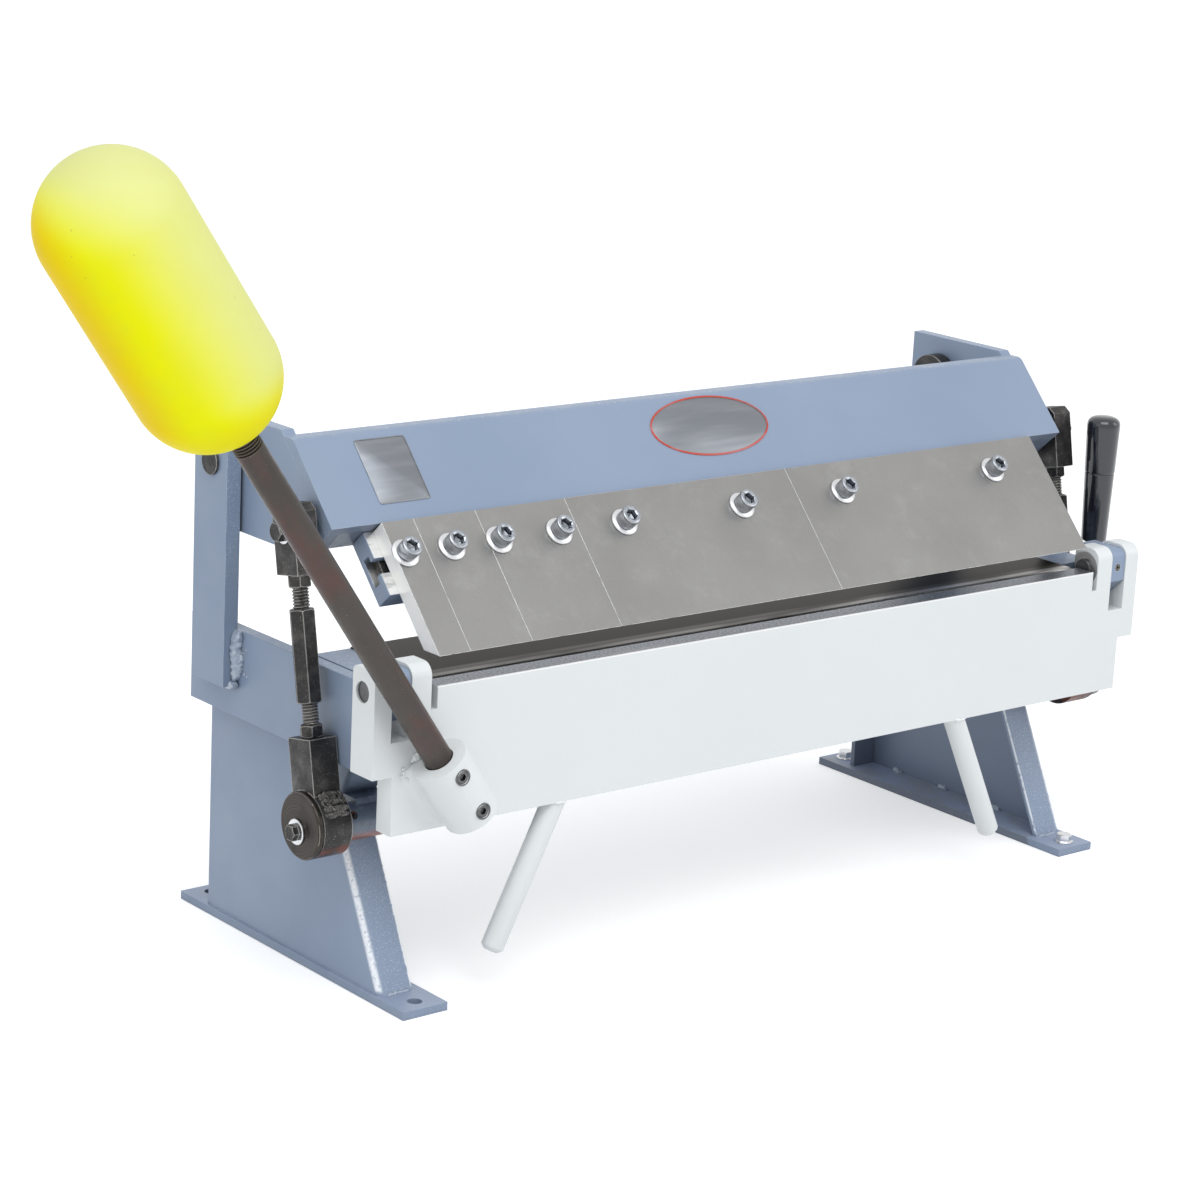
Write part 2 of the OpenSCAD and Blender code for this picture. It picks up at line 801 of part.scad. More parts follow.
module clamp_lever() {
    color([0.40, 0.40, 0.41]) difference() {
        union() {
            bar_x(hub_in, hub_w, hub_d, shaft);
            translate([hub_in + hub_w / 2, shaft[0], shaft[1]])
                cylinder(h = grip_z + grip_l - grip_cap - lever_short - shaft[1], d = lever_d);
        }
        bar_x(hub_in - over, hub_w + 2 * over, journal_d + 2 * fit, shaft);
    }
}

module grip() {
    r = grip_d / 2;
    foot_r = grip_bottom_d / 2;
    shoulder_z = grip_l - r / 2;
    color([0.05, 0.05, 0.06]) translate([hub_in + hub_w / 2, shaft[0], grip_z]) difference() {
        rotate_extrude() polygon(concat(
            [[0, 0], [foot_r - grip_cut, 0], [foot_r, grip_cut]],
            [for (a = [0 : 15 : 90]) [r * cos(a), shoulder_z + r / 2 * sin(a)]]));
        translate([0, 0, -over])
            cylinder(h = grip_l - grip_cap + over, d = lever_d + 2 * fit);
    }
}

// Strap around an eccentric, with its block and its stud
module strap(left) {
    color([0.24, 0.24, 0.25]) on_side(left) on_link() difference() {
        union() {
            translate([-strap_w / 2, 0, 0]) rotate([0, 90, 0]) cylinder(h = strap_w, d = strap_d);
            translate([-strap_block_w / 2, -strap_block_d / 2, 0])
                cube([strap_block_w, strap_block_d, strap_block_end]);
            cylinder(h = turnbuckle_at + stud_in, d = stud_d);
        }
        translate([-strap_w, 0, 0]) rotate([0, 90, 0])
            cylinder(h = 2 * strap_w, d = eccentric_d + 2 * fit);
    }
}

// Eye block over the beam's pin, with its top corners cut off and its stud below
module upper_eye(left) {
    stud_low = turnbuckle_at + turnbuckle_l - stud_in;
    half_d = eye_block_d / 2;
    eye_end = eye_at + eye_block_l;
    color([0.24, 0.24, 0.25]) on_side(left) difference() {
        on_link() {
            translate([-eye_block_w / 2, 0, 0]) rotate([90, 0, 90]) linear_extrude(eye_block_w)
                polygon([
                    [-half_d, eye_at], [half_d, eye_at], [half_d, eye_end - eye_cut],
                    [half_d - eye_cut, eye_end], [eye_cut - half_d, eye_end],
                    [-half_d, eye_end - eye_cut]
                ]);
            translate([0, 0, stud_low]) cylinder(h = eye_at - stud_low + over, d = stud_d);
        }
        bar_x(link_x - strap_w, 2 * strap_w, link_pin_d + 2 * eye_play,
              link_top + [eye_shift_y, 0]);
    }
}

module lock_nuts(left) {
    $fn = small_fn;
    color([0.20, 0.20, 0.21]) on_side(left) on_link()
        for (at = [strap_block_end + seat, eye_at - nut_h - seat]) translate([0, 0, at])
            difference() {
                cylinder(h = nut_h, d = nut_af / cos(30), $fn = 6);
                translate([0, 0, -over]) cylinder(h = nut_h + 2 * over, d = stud_d + 2 * fit);
            }
}

module turnbuckle(left) {
    color([0.28, 0.27, 0.27]) on_side(left) on_link() translate([0, 0, turnbuckle_at])
        difference() {
            cylinder(h = turnbuckle_l, d = hex_af / cos(30), $fn = 6);
            translate([0, 0, -over]) cylinder(h = turnbuckle_l + 2 * over, d = stud_d + 2 * fit);
        }
}

leg(true);  // leg_left
leg(false);  // leg_right
shaft_bearing(true);  // shaft_bearing_left
shaft_bearing(false);  // shaft_bearing_right
end_plate(true);  // end_plate_left
end_plate(false);  // end_plate_right
bed_channel();
bed_plate();
bed_bolts();
upright(true);  // upright_left
upright(false);  // upright_right
hinge_block(true);  // hinge_block_left
hinge_block(false);  // hinge_block_right
hinge_pins();
hinge_set_screws();
pivot_pins();
pivot_collars();
beam_plate();
beam_cheek(true);  // beam_cheek_left
beam_cheek(false);  // beam_cheek_right
finger_bar();
link_pins();
finger(0);  // finger_1in
finger(1);  // finger_2in
finger(2);  // finger_3in
finger(3);  // finger_8in
finger(last);  // finger_10in
color([0.22, 0.22, 0.23]) tee_nuts(inner_screws);  // finger_nuts
color([0.75, 0.75, 0.76]) cap_screws(inner_screws);  // finger_screws
color([0.80, 0.80, 0.80]) washers(inner_screws);  // finger_washers
fixings(screw_xs(0));  // fixings_1in
fixings(screw_xs(last));  // fixings_10in
apron();
handle(handle_left_x, -1);  // handle_left
handle(handle_right_x, 1);  // handle_right
socket();
socket_set_screws();
counterweight_bar();
counterweight();
cross_shaft();
eccentric(true);  // eccentric_left
eccentric(false);  // eccentric_right
keeper(true);  // keeper_left
keeper(false);  // keeper_right
shaft_bolts();
shaft_washers();
clamp_lever();
grip();
strap(true);  // strap_left
strap(false);  // strap_right
upper_eye(true);  // upper_eye_left
upper_eye(false);  // upper_eye_right
lock_nuts(true);  // lock_nuts_left
lock_nuts(false);  // lock_nuts_right
turnbuckle(true);  // turnbuckle_left
turnbuckle(false);  // turnbuckle_right
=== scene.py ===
"""Finish, small fixings, light and camera for the bench box and pan brake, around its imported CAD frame."""

import json
import math
import random

import bmesh
import bpy
from mathutils import Matrix, Vector, noise


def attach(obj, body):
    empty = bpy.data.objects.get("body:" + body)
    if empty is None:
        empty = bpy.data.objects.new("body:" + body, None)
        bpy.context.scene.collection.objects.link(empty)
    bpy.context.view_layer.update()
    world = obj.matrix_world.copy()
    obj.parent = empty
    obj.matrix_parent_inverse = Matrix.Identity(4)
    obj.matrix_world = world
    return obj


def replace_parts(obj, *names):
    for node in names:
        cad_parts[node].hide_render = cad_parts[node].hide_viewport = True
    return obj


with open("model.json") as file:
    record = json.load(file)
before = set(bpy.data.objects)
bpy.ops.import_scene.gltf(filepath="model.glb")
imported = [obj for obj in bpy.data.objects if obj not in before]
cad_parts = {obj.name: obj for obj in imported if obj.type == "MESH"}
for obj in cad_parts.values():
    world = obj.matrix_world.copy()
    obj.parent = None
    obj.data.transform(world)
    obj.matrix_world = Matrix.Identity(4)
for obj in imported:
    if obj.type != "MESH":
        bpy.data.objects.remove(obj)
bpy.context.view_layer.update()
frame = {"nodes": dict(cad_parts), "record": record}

MM = 0.001
INCH = 25.4 * MM
X, Y, Z = Vector((1, 0, 0)), Vector((0, 1, 0)), Vector((0, 0, 1))
SIDES = {"left": -1, "right": 1}

# Named sizes shared with the CAD source, in metres; the apron's bare top ends at LIP_END
FACE_ANGLE = math.radians(47.15)
NOSE = Vector((0, -127.8, 243)) * MM
FACE_UP = Vector((0, math.cos(FACE_ANGLE), math.sin(FACE_ANGLE)))
FACE_OUT = Vector((0, -math.sin(FACE_ANGLE), math.cos(FACE_ANGLE)))
BED_TOP, FINGER_INCHES = 225 * MM, (1, 2, 3, 8, 10)
HINGE = Vector((0, -119.4, 225)) * MM
SPOT_R, LUG_IN, LIP_END = 12.5 * MM, 314 * MM, 309.5 * MM
APRON_FRONT = -132.9 * MM
SHAFT = Vector((0, -68.6, 118.5)) * MM
LINK_FOOT = Vector((0, -71.15, 122.917)) * MM
LINK_TOP = Vector((0, -35, 313)) * MM
LINK_UP = (LINK_TOP - LINK_FOOT).normalized()
LINK_X = 356 * MM
LEG_OUT, LEG_IN, FOOT_TOP = 328 * MM, 301 * MM, 6 * MM
LEG_FOOT, LEG_WAIST = Vector((0, -106, 6)) * MM, Vector((0, -50, 118.5)) * MM
LEG_FRONT = X.cross(LEG_FOOT - LEG_WAIST).normalized()
LEG_FRONT_AT = LEG_FRONT.dot(LEG_FOOT)
LEG_WALL = 4 * MM
BAR_LEAN = math.radians(34.5)
SOCKET_TOP = Vector((-319, -149.9, 182.3)) * MM
BAR_UP = Vector((-math.sin(BAR_LEAN), 0, math.cos(BAR_LEAN)))

BODY_OF = {n: b for b, ns in frame["record"]["behaviour"]["bodies"].items() for n in ns}
SLOT_OF = {s["node"]: s["material_slot"] for s in frame["record"]["subparts"]}


def axes(origin, right, up, out):
    """Matrix of a local frame with these axes at this origin."""
    m = Matrix((right, up, out)).transposed().to_4x4()
    m.translation = origin
    return m


ON_FACE = axes(NOSE, X, FACE_UP, FACE_OUT)
ON_BAR = axes(SOCKET_TOP, Vector((math.cos(BAR_LEAN), 0, math.sin(BAR_LEAN))), Y, BAR_UP)


def on_link(side):
    """Frame of a link: z runs up the link from the eccentric, x outwards."""
    out = X * side
    return axes(LINK_FOOT + out * LINK_X, out, LINK_UP.cross(out), LINK_UP)


# Materials


class Finish:
    """A material's node tree, built with short calls around one Principled shader."""

    def __init__(self, name, colour, roughness, metallic=0.0, specular=0.5):
        self.material = bpy.data.materials.new(name)
        self.material.use_nodes = True
        self.tree = self.material.node_tree
        self.shader = self.tree.nodes["Principled BSDF"]
        self.set(Base_Color=(*colour, 1), Roughness=roughness, Metallic=metallic, Specular_IOR_Level=specular)
        place = self.add("ShaderNodeTexCoord")
        self.where, self.normal = place.outputs["Object"], place.outputs["Normal"]

    def add(self, kind, feeds=(), **settings):
        """A new node with these settings; feeds holds a socket or a plain value for each input."""
        node = self.tree.nodes.new(kind)
        for key, value in settings.items():
            setattr(node, key, value)
        for key, value in dict(feeds).items():
            self.feed(node.inputs[key], value)
        return node

    def feed(self, into, value):
        if isinstance(value, bpy.types.NodeSocket):
            self.tree.links.new(value, into)
        else:
            into.default_value = value

    def set(self, **values):
        for key, value in values.items():
            self.feed(self.shader.inputs[key.replace("_", " ")], value)

    def noise(self, scale, detail, stretch=None, turn=(0, 0, 0), rough=0.5):
        """Noise over the object's own coordinates in metres; stretch scales its axes after the turn."""
        where = self.where
        if stretch:
            for key, value in (("Rotation", turn), ("Scale", stretch)):
                where = self.add("ShaderNodeMapping", {"Vector": where, key: value}).outputs["Vector"]
        look = {"Vector": where, "Scale": scale, "Detail": detail, "Roughness": rough}
        return self.add("ShaderNodeTexNoise", look).outputs["Fac"]

    def span(self, value, low, high, to_low=0.0, to_high=1.0):
        """A smooth step from one level to the other as the value goes from low to high."""
        ends = {"Value": value, "From Min": low, "From Max": high, "To Min": to_low, "To Max": to_high}
        return self.add("ShaderNodeMapRange", ends, interpolation_type="SMOOTHSTEP").outputs["Result"]

    def cloud(self, scale, detail, low, high, *stretch, **rough):
        """Noise as soft patches, from 0 at the low level to 1 at the high one."""
        return self.span(self.noise(scale, detail, *stretch, **rough), low, high)

    def specks(self, scale, size, core=0.03):
        """1 in small spots about the points of a random scatter."""
        scatter = self.add("ShaderNodeTexVoronoi", {"Vector": self.where, "Scale": scale})
        return self.span(scatter.outputs["Distance"], size, core)

    def calc(self, kind, a, b, clamp=True):
        return self.add("ShaderNodeMath", {0: a, 1: b}, operation=kind, use_clamp=clamp).outputs["Value"]

    def vector(self, kind, a, b=(0, 0, 0), out="Vector"):
        return self.add("ShaderNodeVectorMath", {0: a, 1: b}, operation=kind).outputs[out]

    def both(self, *masks):
        out = masks[0]
        for mask in masks[1:]:
            out = self.calc("MULTIPLY", out, mask)
        return out

    def along(self, direction):
        """Distance along a direction from the origin, in metres."""
        return self.vector("DOT_PRODUCT", self.where, direction, "Value")

    def aside(self):
        """Distance from the middle plane to either side, in metres."""
        return self.calc("ABSOLUTE", self.along(X), 0.0, False)

    def near(self, value, at, reach, soft):
        """1 where a value is within reach of a place, fading over soft."""
        gap = self.calc("ABSOLUTE", self.calc("SUBTRACT", value, at, False), 0.0, False)
        return self.span(gap, reach, reach + soft, 1.0, 0.0)

    def radius(self, centre):
        """Distance from an axis along X through this centre, in metres."""
        flat = self.vector("MULTIPLY", self.vector("SUBTRACT", self.where, centre), (0, 1, 1))
        return self.vector("LENGTH", flat, out="Value")

    def rings(self, centre, scale):
        """Fine turned rings round an axis along X, for lathe-cut faces."""
        look = {"W": self.radius(centre), "Scale": scale, "Detail": 4.0}
        return self.add("ShaderNodeTexNoise", noise_dimensions="1D", feeds=look).outputs["Fac"]

    def edges(self, radius, low=0.02, high=0.2):
        """1 along the edges, 0 on the flats: where a rounded normal turns away from the true one."""
        rounded = self.add("ShaderNodeBevel", {"Radius": radius}, samples=4).outputs["Normal"]
        true = self.add("ShaderNodeNewGeometry").outputs["True Normal"]
        return self.span(self.vector("DOT_PRODUCT", rounded, true, "Value"), 1 - low, 1 - high)

    def corners(self, reach):
        """1 deep in inner corners, 0 in the open."""
        open_sky = self.add("ShaderNodeAmbientOcclusion", {"Distance": reach}, samples=4).outputs["AO"]
        return self.span(open_sky, 0.75, 0.3)

    def facing(self, direction, low=0.7, high=0.9):
        """1 where the surface faces this way in the object's own axes."""
        return self.span(self.vector("DOT_PRODUCT", self.normal, direction, "Value"), low, high)

    def mix(self, kind, name, mask, to):
        """Mixes a value into an input of the shader, over what is there so far."""
        socket = self.shader.inputs[name]
        so_far = socket.links[0].from_socket if socket.links else socket.default_value
        mixed = self.add("ShaderNodeMix", {"Factor": mask, "A": so_far, "B": to}, data_type=kind)
        self.feed(socket, mixed.outputs["Result"])

    def paint(self, mask, colour, share=1.0):
        """Lays a share of another colour over the base colour where the mask is 1."""
        if share < 1.0:
            mask = self.calc("MULTIPLY", mask, share)
        self.mix("RGBA", "Base Color", mask, (*colour, 1))

    def shift(self, name, mask, to):
        """Moves a plain number of the shader towards another where the mask is 1."""
        self.mix("FLOAT", name, mask, to)

    def bump(self, height, strength, depth):
        look = {"Height": height, "Strength": strength, "Distance": depth}
        self.set(Normal=self.add("ShaderNodeBump", look).outputs["Normal"])


# Linear colours
# The third colour of each enamel is painted shade with dirt, laid in its corners and, on the frame, under it
FRAME_BLUE, FRAME_PALE, FRAME_SHADE_AND_DIRT = (0.230, 0.296, 0.416), (0.50, 0.57, 0.68), (0.085, 0.10, 0.135)
APRON_WHITE, APRON_PALE, APRON_SHADE_AND_DIRT = (0.745, 0.77, 0.775), (0.86, 0.88, 0.89), (0.50, 0.52, 0.53)
# REFLECTED_RED is the colour of a painted reflection of a red-brown surface
BARE_STEEL, BRIGHT_STEEL, REFLECTED_RED = (0.31, 0.307, 0.302), (0.86, 0.86, 0.85), (0.23, 0.075, 0.05)


def enamel(name, colour, pale, shade_and_dirt, roughness, peel, worn=0.5):
    """Sprayed enamel: slow shifts of tone, orange peel, paler rubbed edges, and painted shade with dirt
    darkening the corners.
    """
    f = Finish(name, colour, roughness)
    f.paint(f.cloud(6, 4, 0.35, 0.7), pale, 0.10)
    # Painted shade in broad hollows, and painted shade with dirt in close corners
    f.paint(f.corners(60 * MM), shade_and_dirt, 0.24)
    f.paint(f.corners(6 * MM), shade_and_dirt, 0.5)
    f.paint(f.specks(260, 0.10), pale, 0.16)
    f.paint(f.both(f.edges(0.9 * MM), f.cloud(70, 3, 0.35, 0.62)), pale, worn)
    f.shift("Roughness", f.cloud(30, 3, 0.3, 0.7), roughness + 0.12)
    f.bump(f.noise(900, 2), peel, 0.2 * MM)
    f.set(Coat_Weight=0.15, Coat_Roughness=0.22)
    return f


# Heights of the legs' front bends, rubbed and with a painted highlight, and of the top of the painted shadow
# inside their channels
RUB_AND_HIGHLIGHT_FROM, RUB_AND_HIGHLIGHT_TO, SHADOW_TOP = 7 * MM, 190 * MM, 184 * MM


def frame_enamel():
    """The frame's blue-grey enamel: dusty ledges, painted shade on the undersides and in the leg channels,
    painted light on the feet's tops, and the front bends rubbed bright with a painted highlight.
    """
    f = enamel("frame_enamel", FRAME_BLUE, FRAME_PALE, FRAME_SHADE_AND_DIRT, 0.4, 0.16, 0.8)
    level = f.facing(Z, 0.9, 0.98)
    f.paint(f.both(level, f.cloud(34, 5, 0.45, 0.7, rough=0.7)), (0.42, 0.42, 0.42), 0.22)
    f.paint(f.both(level, f.cloud(300, 4, 0.54, 0.66, rough=0.7)), (0.62, 0.66, 0.72), 0.35)
    # Painted shade on the faces that look down
    f.paint(f.facing(-Z, 0.3, 0.8), FRAME_SHADE_AND_DIRT, 0.55)

    wide, front, up = f.aside(), f.along(LEG_FRONT), f.along(Z)
    # Painted light: the feet's upper faces made a paler blue
    f.paint(f.both(level, f.near(up, FOOT_TOP, 0.4 * MM, 0.4 * MM)), (0.305, 0.365, 0.50), 0.8)
    wall, back = LEG_OUT - LEG_WALL, LEG_FRONT_AT + LEG_WALL
    inside = f.both(f.span(wide, wall + 0.5 * MM, wall - 0.5 * MM),
                    f.span(up, SHADOW_TOP, SHADOW_TOP - 6 * MM),
                    f.span(front, back - 1 * MM, back + 1 * MM), f.facing(Y, 0.8, 0.5))
    # Painted shade on the walls inside the leg channels
    f.paint(f.both(inside, f.facing(Z, 0.8, 0.5)), (0.088, 0.096, 0.120), 0.62)
    f.paint(f.both(inside, level, f.cloud(40, 5, 0.42, 0.62, rough=0.7)), (0.27, 0.275, 0.285), 0.6)

    raised = f.both(f.span(up, RUB_AND_HIGHLIGHT_FROM, RUB_AND_HIGHLIGHT_FROM + 3 * MM), f.span(up, RUB_AND_HIGHLIGHT_TO, RUB_AND_HIGHLIGHT_TO - 4 * MM))

    def worn(side_at, on_front, on_side):
        """A line up the legs' fronts, rubbed and with a painted highlight; each pair is a reach and a
        softness.
        """
        return f.both(f.near(front, LEG_FRONT_AT, *on_front), f.near(wide, side_at, *on_side), raised)

    # Painted highlight down each front bend: a soft pale band, and inside it a bright line that is both
    # rubbed bare paint and painted highlight
    f.paint(worn(LEG_OUT, (0.6 * MM, 5 * MM), (0.8 * MM, 5 * MM)), (0.55, 0.62, 0.72), 0.45)
    bare = worn(LEG_OUT, (1.6 * MM, 2.6 * MM), (2.0 * MM, 2.6 * MM))
    f.paint(f.both(bare, f.cloud(500, 3, 0.28, 0.5, rough=0.7)), (0.90, 0.93, 0.97))
    # The sheared inner edges of the front flanges: bright bare metal with a painted highlight
    sheared_edge_and_highlight = worn(LEG_IN, (0.9 * MM, 0.9 * MM), (0.5 * MM, 0.6 * MM))
    f.paint(f.both(sheared_edge_and_highlight, f.cloud(200, 3, 0.3, 0.5)), (0.82, 0.86, 0.92))
    fleck = f.both(f.near(front, LEG_FRONT_AT, 16 * MM, 20 * MM), f.cloud(1500, 2, 0.58, 0.72))
    f.paint(f.both(fleck, f.facing(-LEG_FRONT, 0.5, 0.8)), (0.75, 0.80, 0.88), 0.6)
    return f


def weld_enamel(name, colour, pale):
    """The same enamel over a weld: thicker, wet and shiny."""
    f = Finish(name, colour, 0.16)
    f.paint(f.cloud(220, 3, 0.45, 0.65), pale, 0.5)
    # Painted shade with dirt in the corners round the bead
    f.paint(f.corners(2.5 * MM), FRAME_SHADE_AND_DIRT, 0.5)
    f.shift("Roughness", f.cloud(160, 3, 0.4, 0.7), 0.32)
    f.bump(f.noise(420, 3), 0.35, 0.5 * MM)
    f.set(Coat_Weight=0.8, Coat_Roughness=0.08)
    return f


def bearing_finish():
    """Bearing tubes: the frame's enamel made darker as painted shade, with darker patches and a painted
    red-brown reflection on their undersides.
    """
    # A darker copy of the frame's enamel: painted shade
    f = enamel("bearing_enamel", (0.13, 0.165, 0.225), FRAME_BLUE, FRAME_SHADE_AND_DIRT, 0.24, 0.12)
    # Painted reflection of a red-brown surface on the undersides
    f.paint(f.both(f.facing(-Z, 0.15, 0.75), f.cloud(60, 3, 0.2, 0.5)), REFLECTED_RED)
    f.paint(f.cloud(90, 4, 0.5, 0.7), (0.05, 0.06, 0.08), 0.6)
    return f


def apron_enamel():
    """The apron's off-white enamel; its top edge and the spot faces round the hinge pins are bare steel."""
    f = enamel("apron_enamel", APRON_WHITE, APRON_PALE, APRON_SHADE_AND_DIRT, 0.36, 0.09)
    wide, up = f.aside(), f.along(Z)
    top = f.both(f.facing(Z, 0.6, 0.8), f.near(up, BED_TOP, 1.2 * MM, 0.3 * MM),
                 f.span(wide, LIP_END, LIP_END + 0.5 * MM, 1.0, 0.0))
    f.paint(top, (0.13, 0.145, 0.17))
    f.paint(f.both(top, f.cloud(1000, 3, 0.42, 0.58, (0.5, 1, 1))), (0.42, 0.46, 0.52), 0.8)
    f.paint(f.both(top, f.cloud(26, 4, 0.5, 0.7, (0.2, 1, 1))), (0.6, 0.6, 0.6), 0.4)
    rim = f.both(f.near(f.along(Y), APRON_FRONT, 0.9 * MM, 0.5 * MM), f.near(up, BED_TOP, 0.7 * MM, 0.4 * MM))
    f.paint(f.both(rim, f.span(wide, LIP_END - 0.5 * MM, LIP_END, 1.0, 0.0)), (0.95, 0.95, 0.96))
    inner = f.both(f.near(wide, LUG_IN, 0.3 * MM, 0.3 * MM), f.calc("MAXIMUM", f.facing(X), f.facing(-X)))
    spot = f.both(inner, f.span(f.radius(HINGE), SPOT_R, SPOT_R + 0.3 * MM, 1.0, 0.0))
    f.paint(spot, (0.62, 0.62, 0.63))
    f.paint(f.both(spot, f.span(f.rings(HINGE, 1500), 0.5, 0.62)), (0.25, 0.25, 0.26), 0.6)
    bare = f.calc("MAXIMUM", top, spot)
    f.shift("Metallic", bare, 1.0)
    f.shift("Roughness", bare, 0.38)
    return f


def weight_enamel():
    """Dipped plastic on the counterweight, painted paler above and towards the light and deep orange-yellow
    on the side away from it and underneath: painted light and painted shade.
    """
    f = Finish("weight_enamel", (0.91, 0.91, 0.004), 0.36, specular=0.03)
    shade_side = Vector((-0.728, 0.421, -0.542))
    # Painted shade: orange-yellow on the side turned away from the light
    f.paint(f.facing(shade_side, 0.35, 0.95), (0.95, 0.66, 0.002))
    # Painted light: paler where it faces the light and where it faces up
    f.paint(f.facing((BAR_UP * 0.9 - shade_side).normalized(), -0.25, 0.7), (0.745, 0.765, 0.27))
    f.paint(f.facing(Z, 0.3, 1.0), (0.64, 0.655, 0.31), 0.7)
    # Painted shade: deeper yellow on the end that faces down the bar
    f.paint(f.facing(-BAR_UP, 0.10, 0.65), (0.93, 0.82, 0.003), 0.9)
    f.paint(f.cloud(30, 4, 0.3, 0.7), (0.70, 0.70, 0.10), 0.12)
    f.paint(f.specks(60, 0.05), (0.46, 0.40, 0.08), 0.4)
    f.shift("Roughness", f.noise(18, 3), 0.42)
    f.bump(f.noise(700, 2), 0.04, 0.1 * MM)
    return f


def steel(name, colour, roughness, bright, grain_scale):
    """Bare steel with a fine grain and bright edges."""
    f = Finish(name, colour, roughness, metallic=1.0)
    grain = f.noise(grain_scale, 5, rough=0.62)
    f.paint(f.span(grain, 0.3, 0.75), bright, 0.2)
    fine = f.noise(grain_scale * 12, 4, rough=0.6)
    f.paint(f.span(fine, 0.5, 0.75), bright, 0.12)
    f.paint(f.edges(0.45 * MM), bright, 0.6)
    f.shift("Roughness", grain, roughness + 0.12)
    f.bump(fine, 0.06, 0.05 * MM)
    return f


def ground_finish():
    """Fingers: ground steel, cloudy with oil; their sawn ends painted white as a painted reflection of the
    light, and the seams between them bright.
    """
    f = Finish("ground_steel", BARE_STEEL, 0.38, metallic=1.0)
    f.paint(f.cloud(11, 5, 0.35, 0.72, rough=0.62), (0.235, 0.232, 0.226), 0.45)
    f.paint(f.cloud(40, 5, 0.5, 0.75, rough=0.7), (0.47, 0.468, 0.46), 0.2)
    f.paint(f.cloud(700, 3, 0.6, 0.75), (0.24, 0.235, 0.225), 0.35)
    f.paint(f.specks(420, 0.12, 0.04), BRIGHT_STEEL, 0.3)
    f.paint(f.both(f.edges(0.5 * MM), f.cloud(130, 4, 0.30, 0.5)), (0.95, 0.95, 0.94), 0.95)
    # Painted reflection of the light: the ends painted white and made less metallic
    ends = f.calc("MAXIMUM", f.facing(-X), f.facing(X))
    f.paint(ends, (0.9, 0.9, 0.9))
    f.shift("Metallic", ends, 0.25)
    f.shift("Roughness", f.noise(40, 4), 0.46)
    f.bump(f.noise(600, 3), 0.04, 0.05 * MM)
    return f


def bed_finish():
    """Bed plate: dark oiled steel, with a painted highlight along its rounded front edge."""
    f = Finish("bed_steel", (0.044, 0.043, 0.042), 0.22, metallic=1.0)
    oil = f.noise(22, 5, (0.35, 1, 1), rough=0.65)
    f.paint(f.span(oil, 0.35, 0.75), (0.085, 0.081, 0.076), 0.5)
    # Painted highlight along the rounded front edge: a pale band, bright patches in it, and a fainter streak
    # behind
    band, streak, lit_to = -111.5 * MM, -103 * MM, 230 * MM
    lit = f.near(f.along(Y), band, 2 * MM, 5 * MM)
    patches = f.cloud(9, 3, 0.38, 0.52, (0.6, 1, 1))
    f.paint(f.both(lit, f.cloud(30, 4, 0.3, 0.6, (0.3, 1, 1))), (0.38, 0.375, 0.37), 0.8)
    f.paint(f.both(lit, patches, f.span(f.along(X), 0, lit_to)), (0.80, 0.79, 0.78))
    f.paint(f.both(f.near(f.along(Y), streak, 1 * MM, 3 * MM), patches), (0.30, 0.29, 0.275), 0.4)
    f.paint(f.edges(0.6 * MM), (0.75, 0.75, 0.74))
    f.shift("Roughness", oil, 0.36)
    f.bump(f.noise(300, 4, (0.3, 1, 1)), 0.06, 0.05 * MM)
    f.set(Specular_Tint=(0.62, 0.61, 0.60, 1))
    return f


def keeper_finish():
    """Keeper discs: turned steel browned in oil, rings of the lathe tool and a bright worn rim."""
    f = Finish("browned_steel", (0.040, 0.034, 0.030), 0.30, metallic=0.8)
    turned = f.rings(SHAFT, 900)
    f.paint(f.span(turned, 0.45, 0.65), (0.095, 0.082, 0.072), 0.5)
    f.paint(f.cloud(60, 4, 0.45, 0.7), (0.022, 0.019, 0.018), 0.6)
    f.paint(f.edges(0.7 * MM), (0.52, 0.49, 0.44), 0.8)
    f.bump(turned, 0.3, 0.1 * MM)
    return f


def screw_finish():
    """Screw heads: dark steel with bright knurls and rims, and painted shade, near black, down in the
    hexagon.
    """
    f = Finish("screw_steel", (0.36, 0.385, 0.42), 0.24, metallic=1.0)
    f.paint(f.cloud(300, 3, 0.45, 0.65), (0.54, 0.56, 0.60), 0.5)
    f.paint(f.edges(0.35 * MM), (0.93, 0.93, 0.94))
    # Painted shade, near black, deep in the hexagon socket and other hollows
    f.paint(f.corners(5 * MM), (0.012, 0.012, 0.014))
    f.bump(f.noise(900, 2), 0.08, 0.05 * MM)
    return f


def bar_paint():
    """Finger bar: blue-grey paint, milled bare where the fingers lie on it."""
    f = enamel("finger_bar_paint", FRAME_BLUE, FRAME_PALE, FRAME_SHADE_AND_DIRT, 0.4, 0.16)
    land = f.facing(FACE_OUT, 0.95, 0.99)
    f.paint(land, (0.8, 0.8, 0.8))
    f.paint(f.both(land, f.cloud(200, 4, 0.5, 0.7, (0.2, 1, 1))), (0.5, 0.5, 0.5))
    f.shift("Metallic", land, 1.0)
    f.shift("Roughness", land, 0.34)
    return f


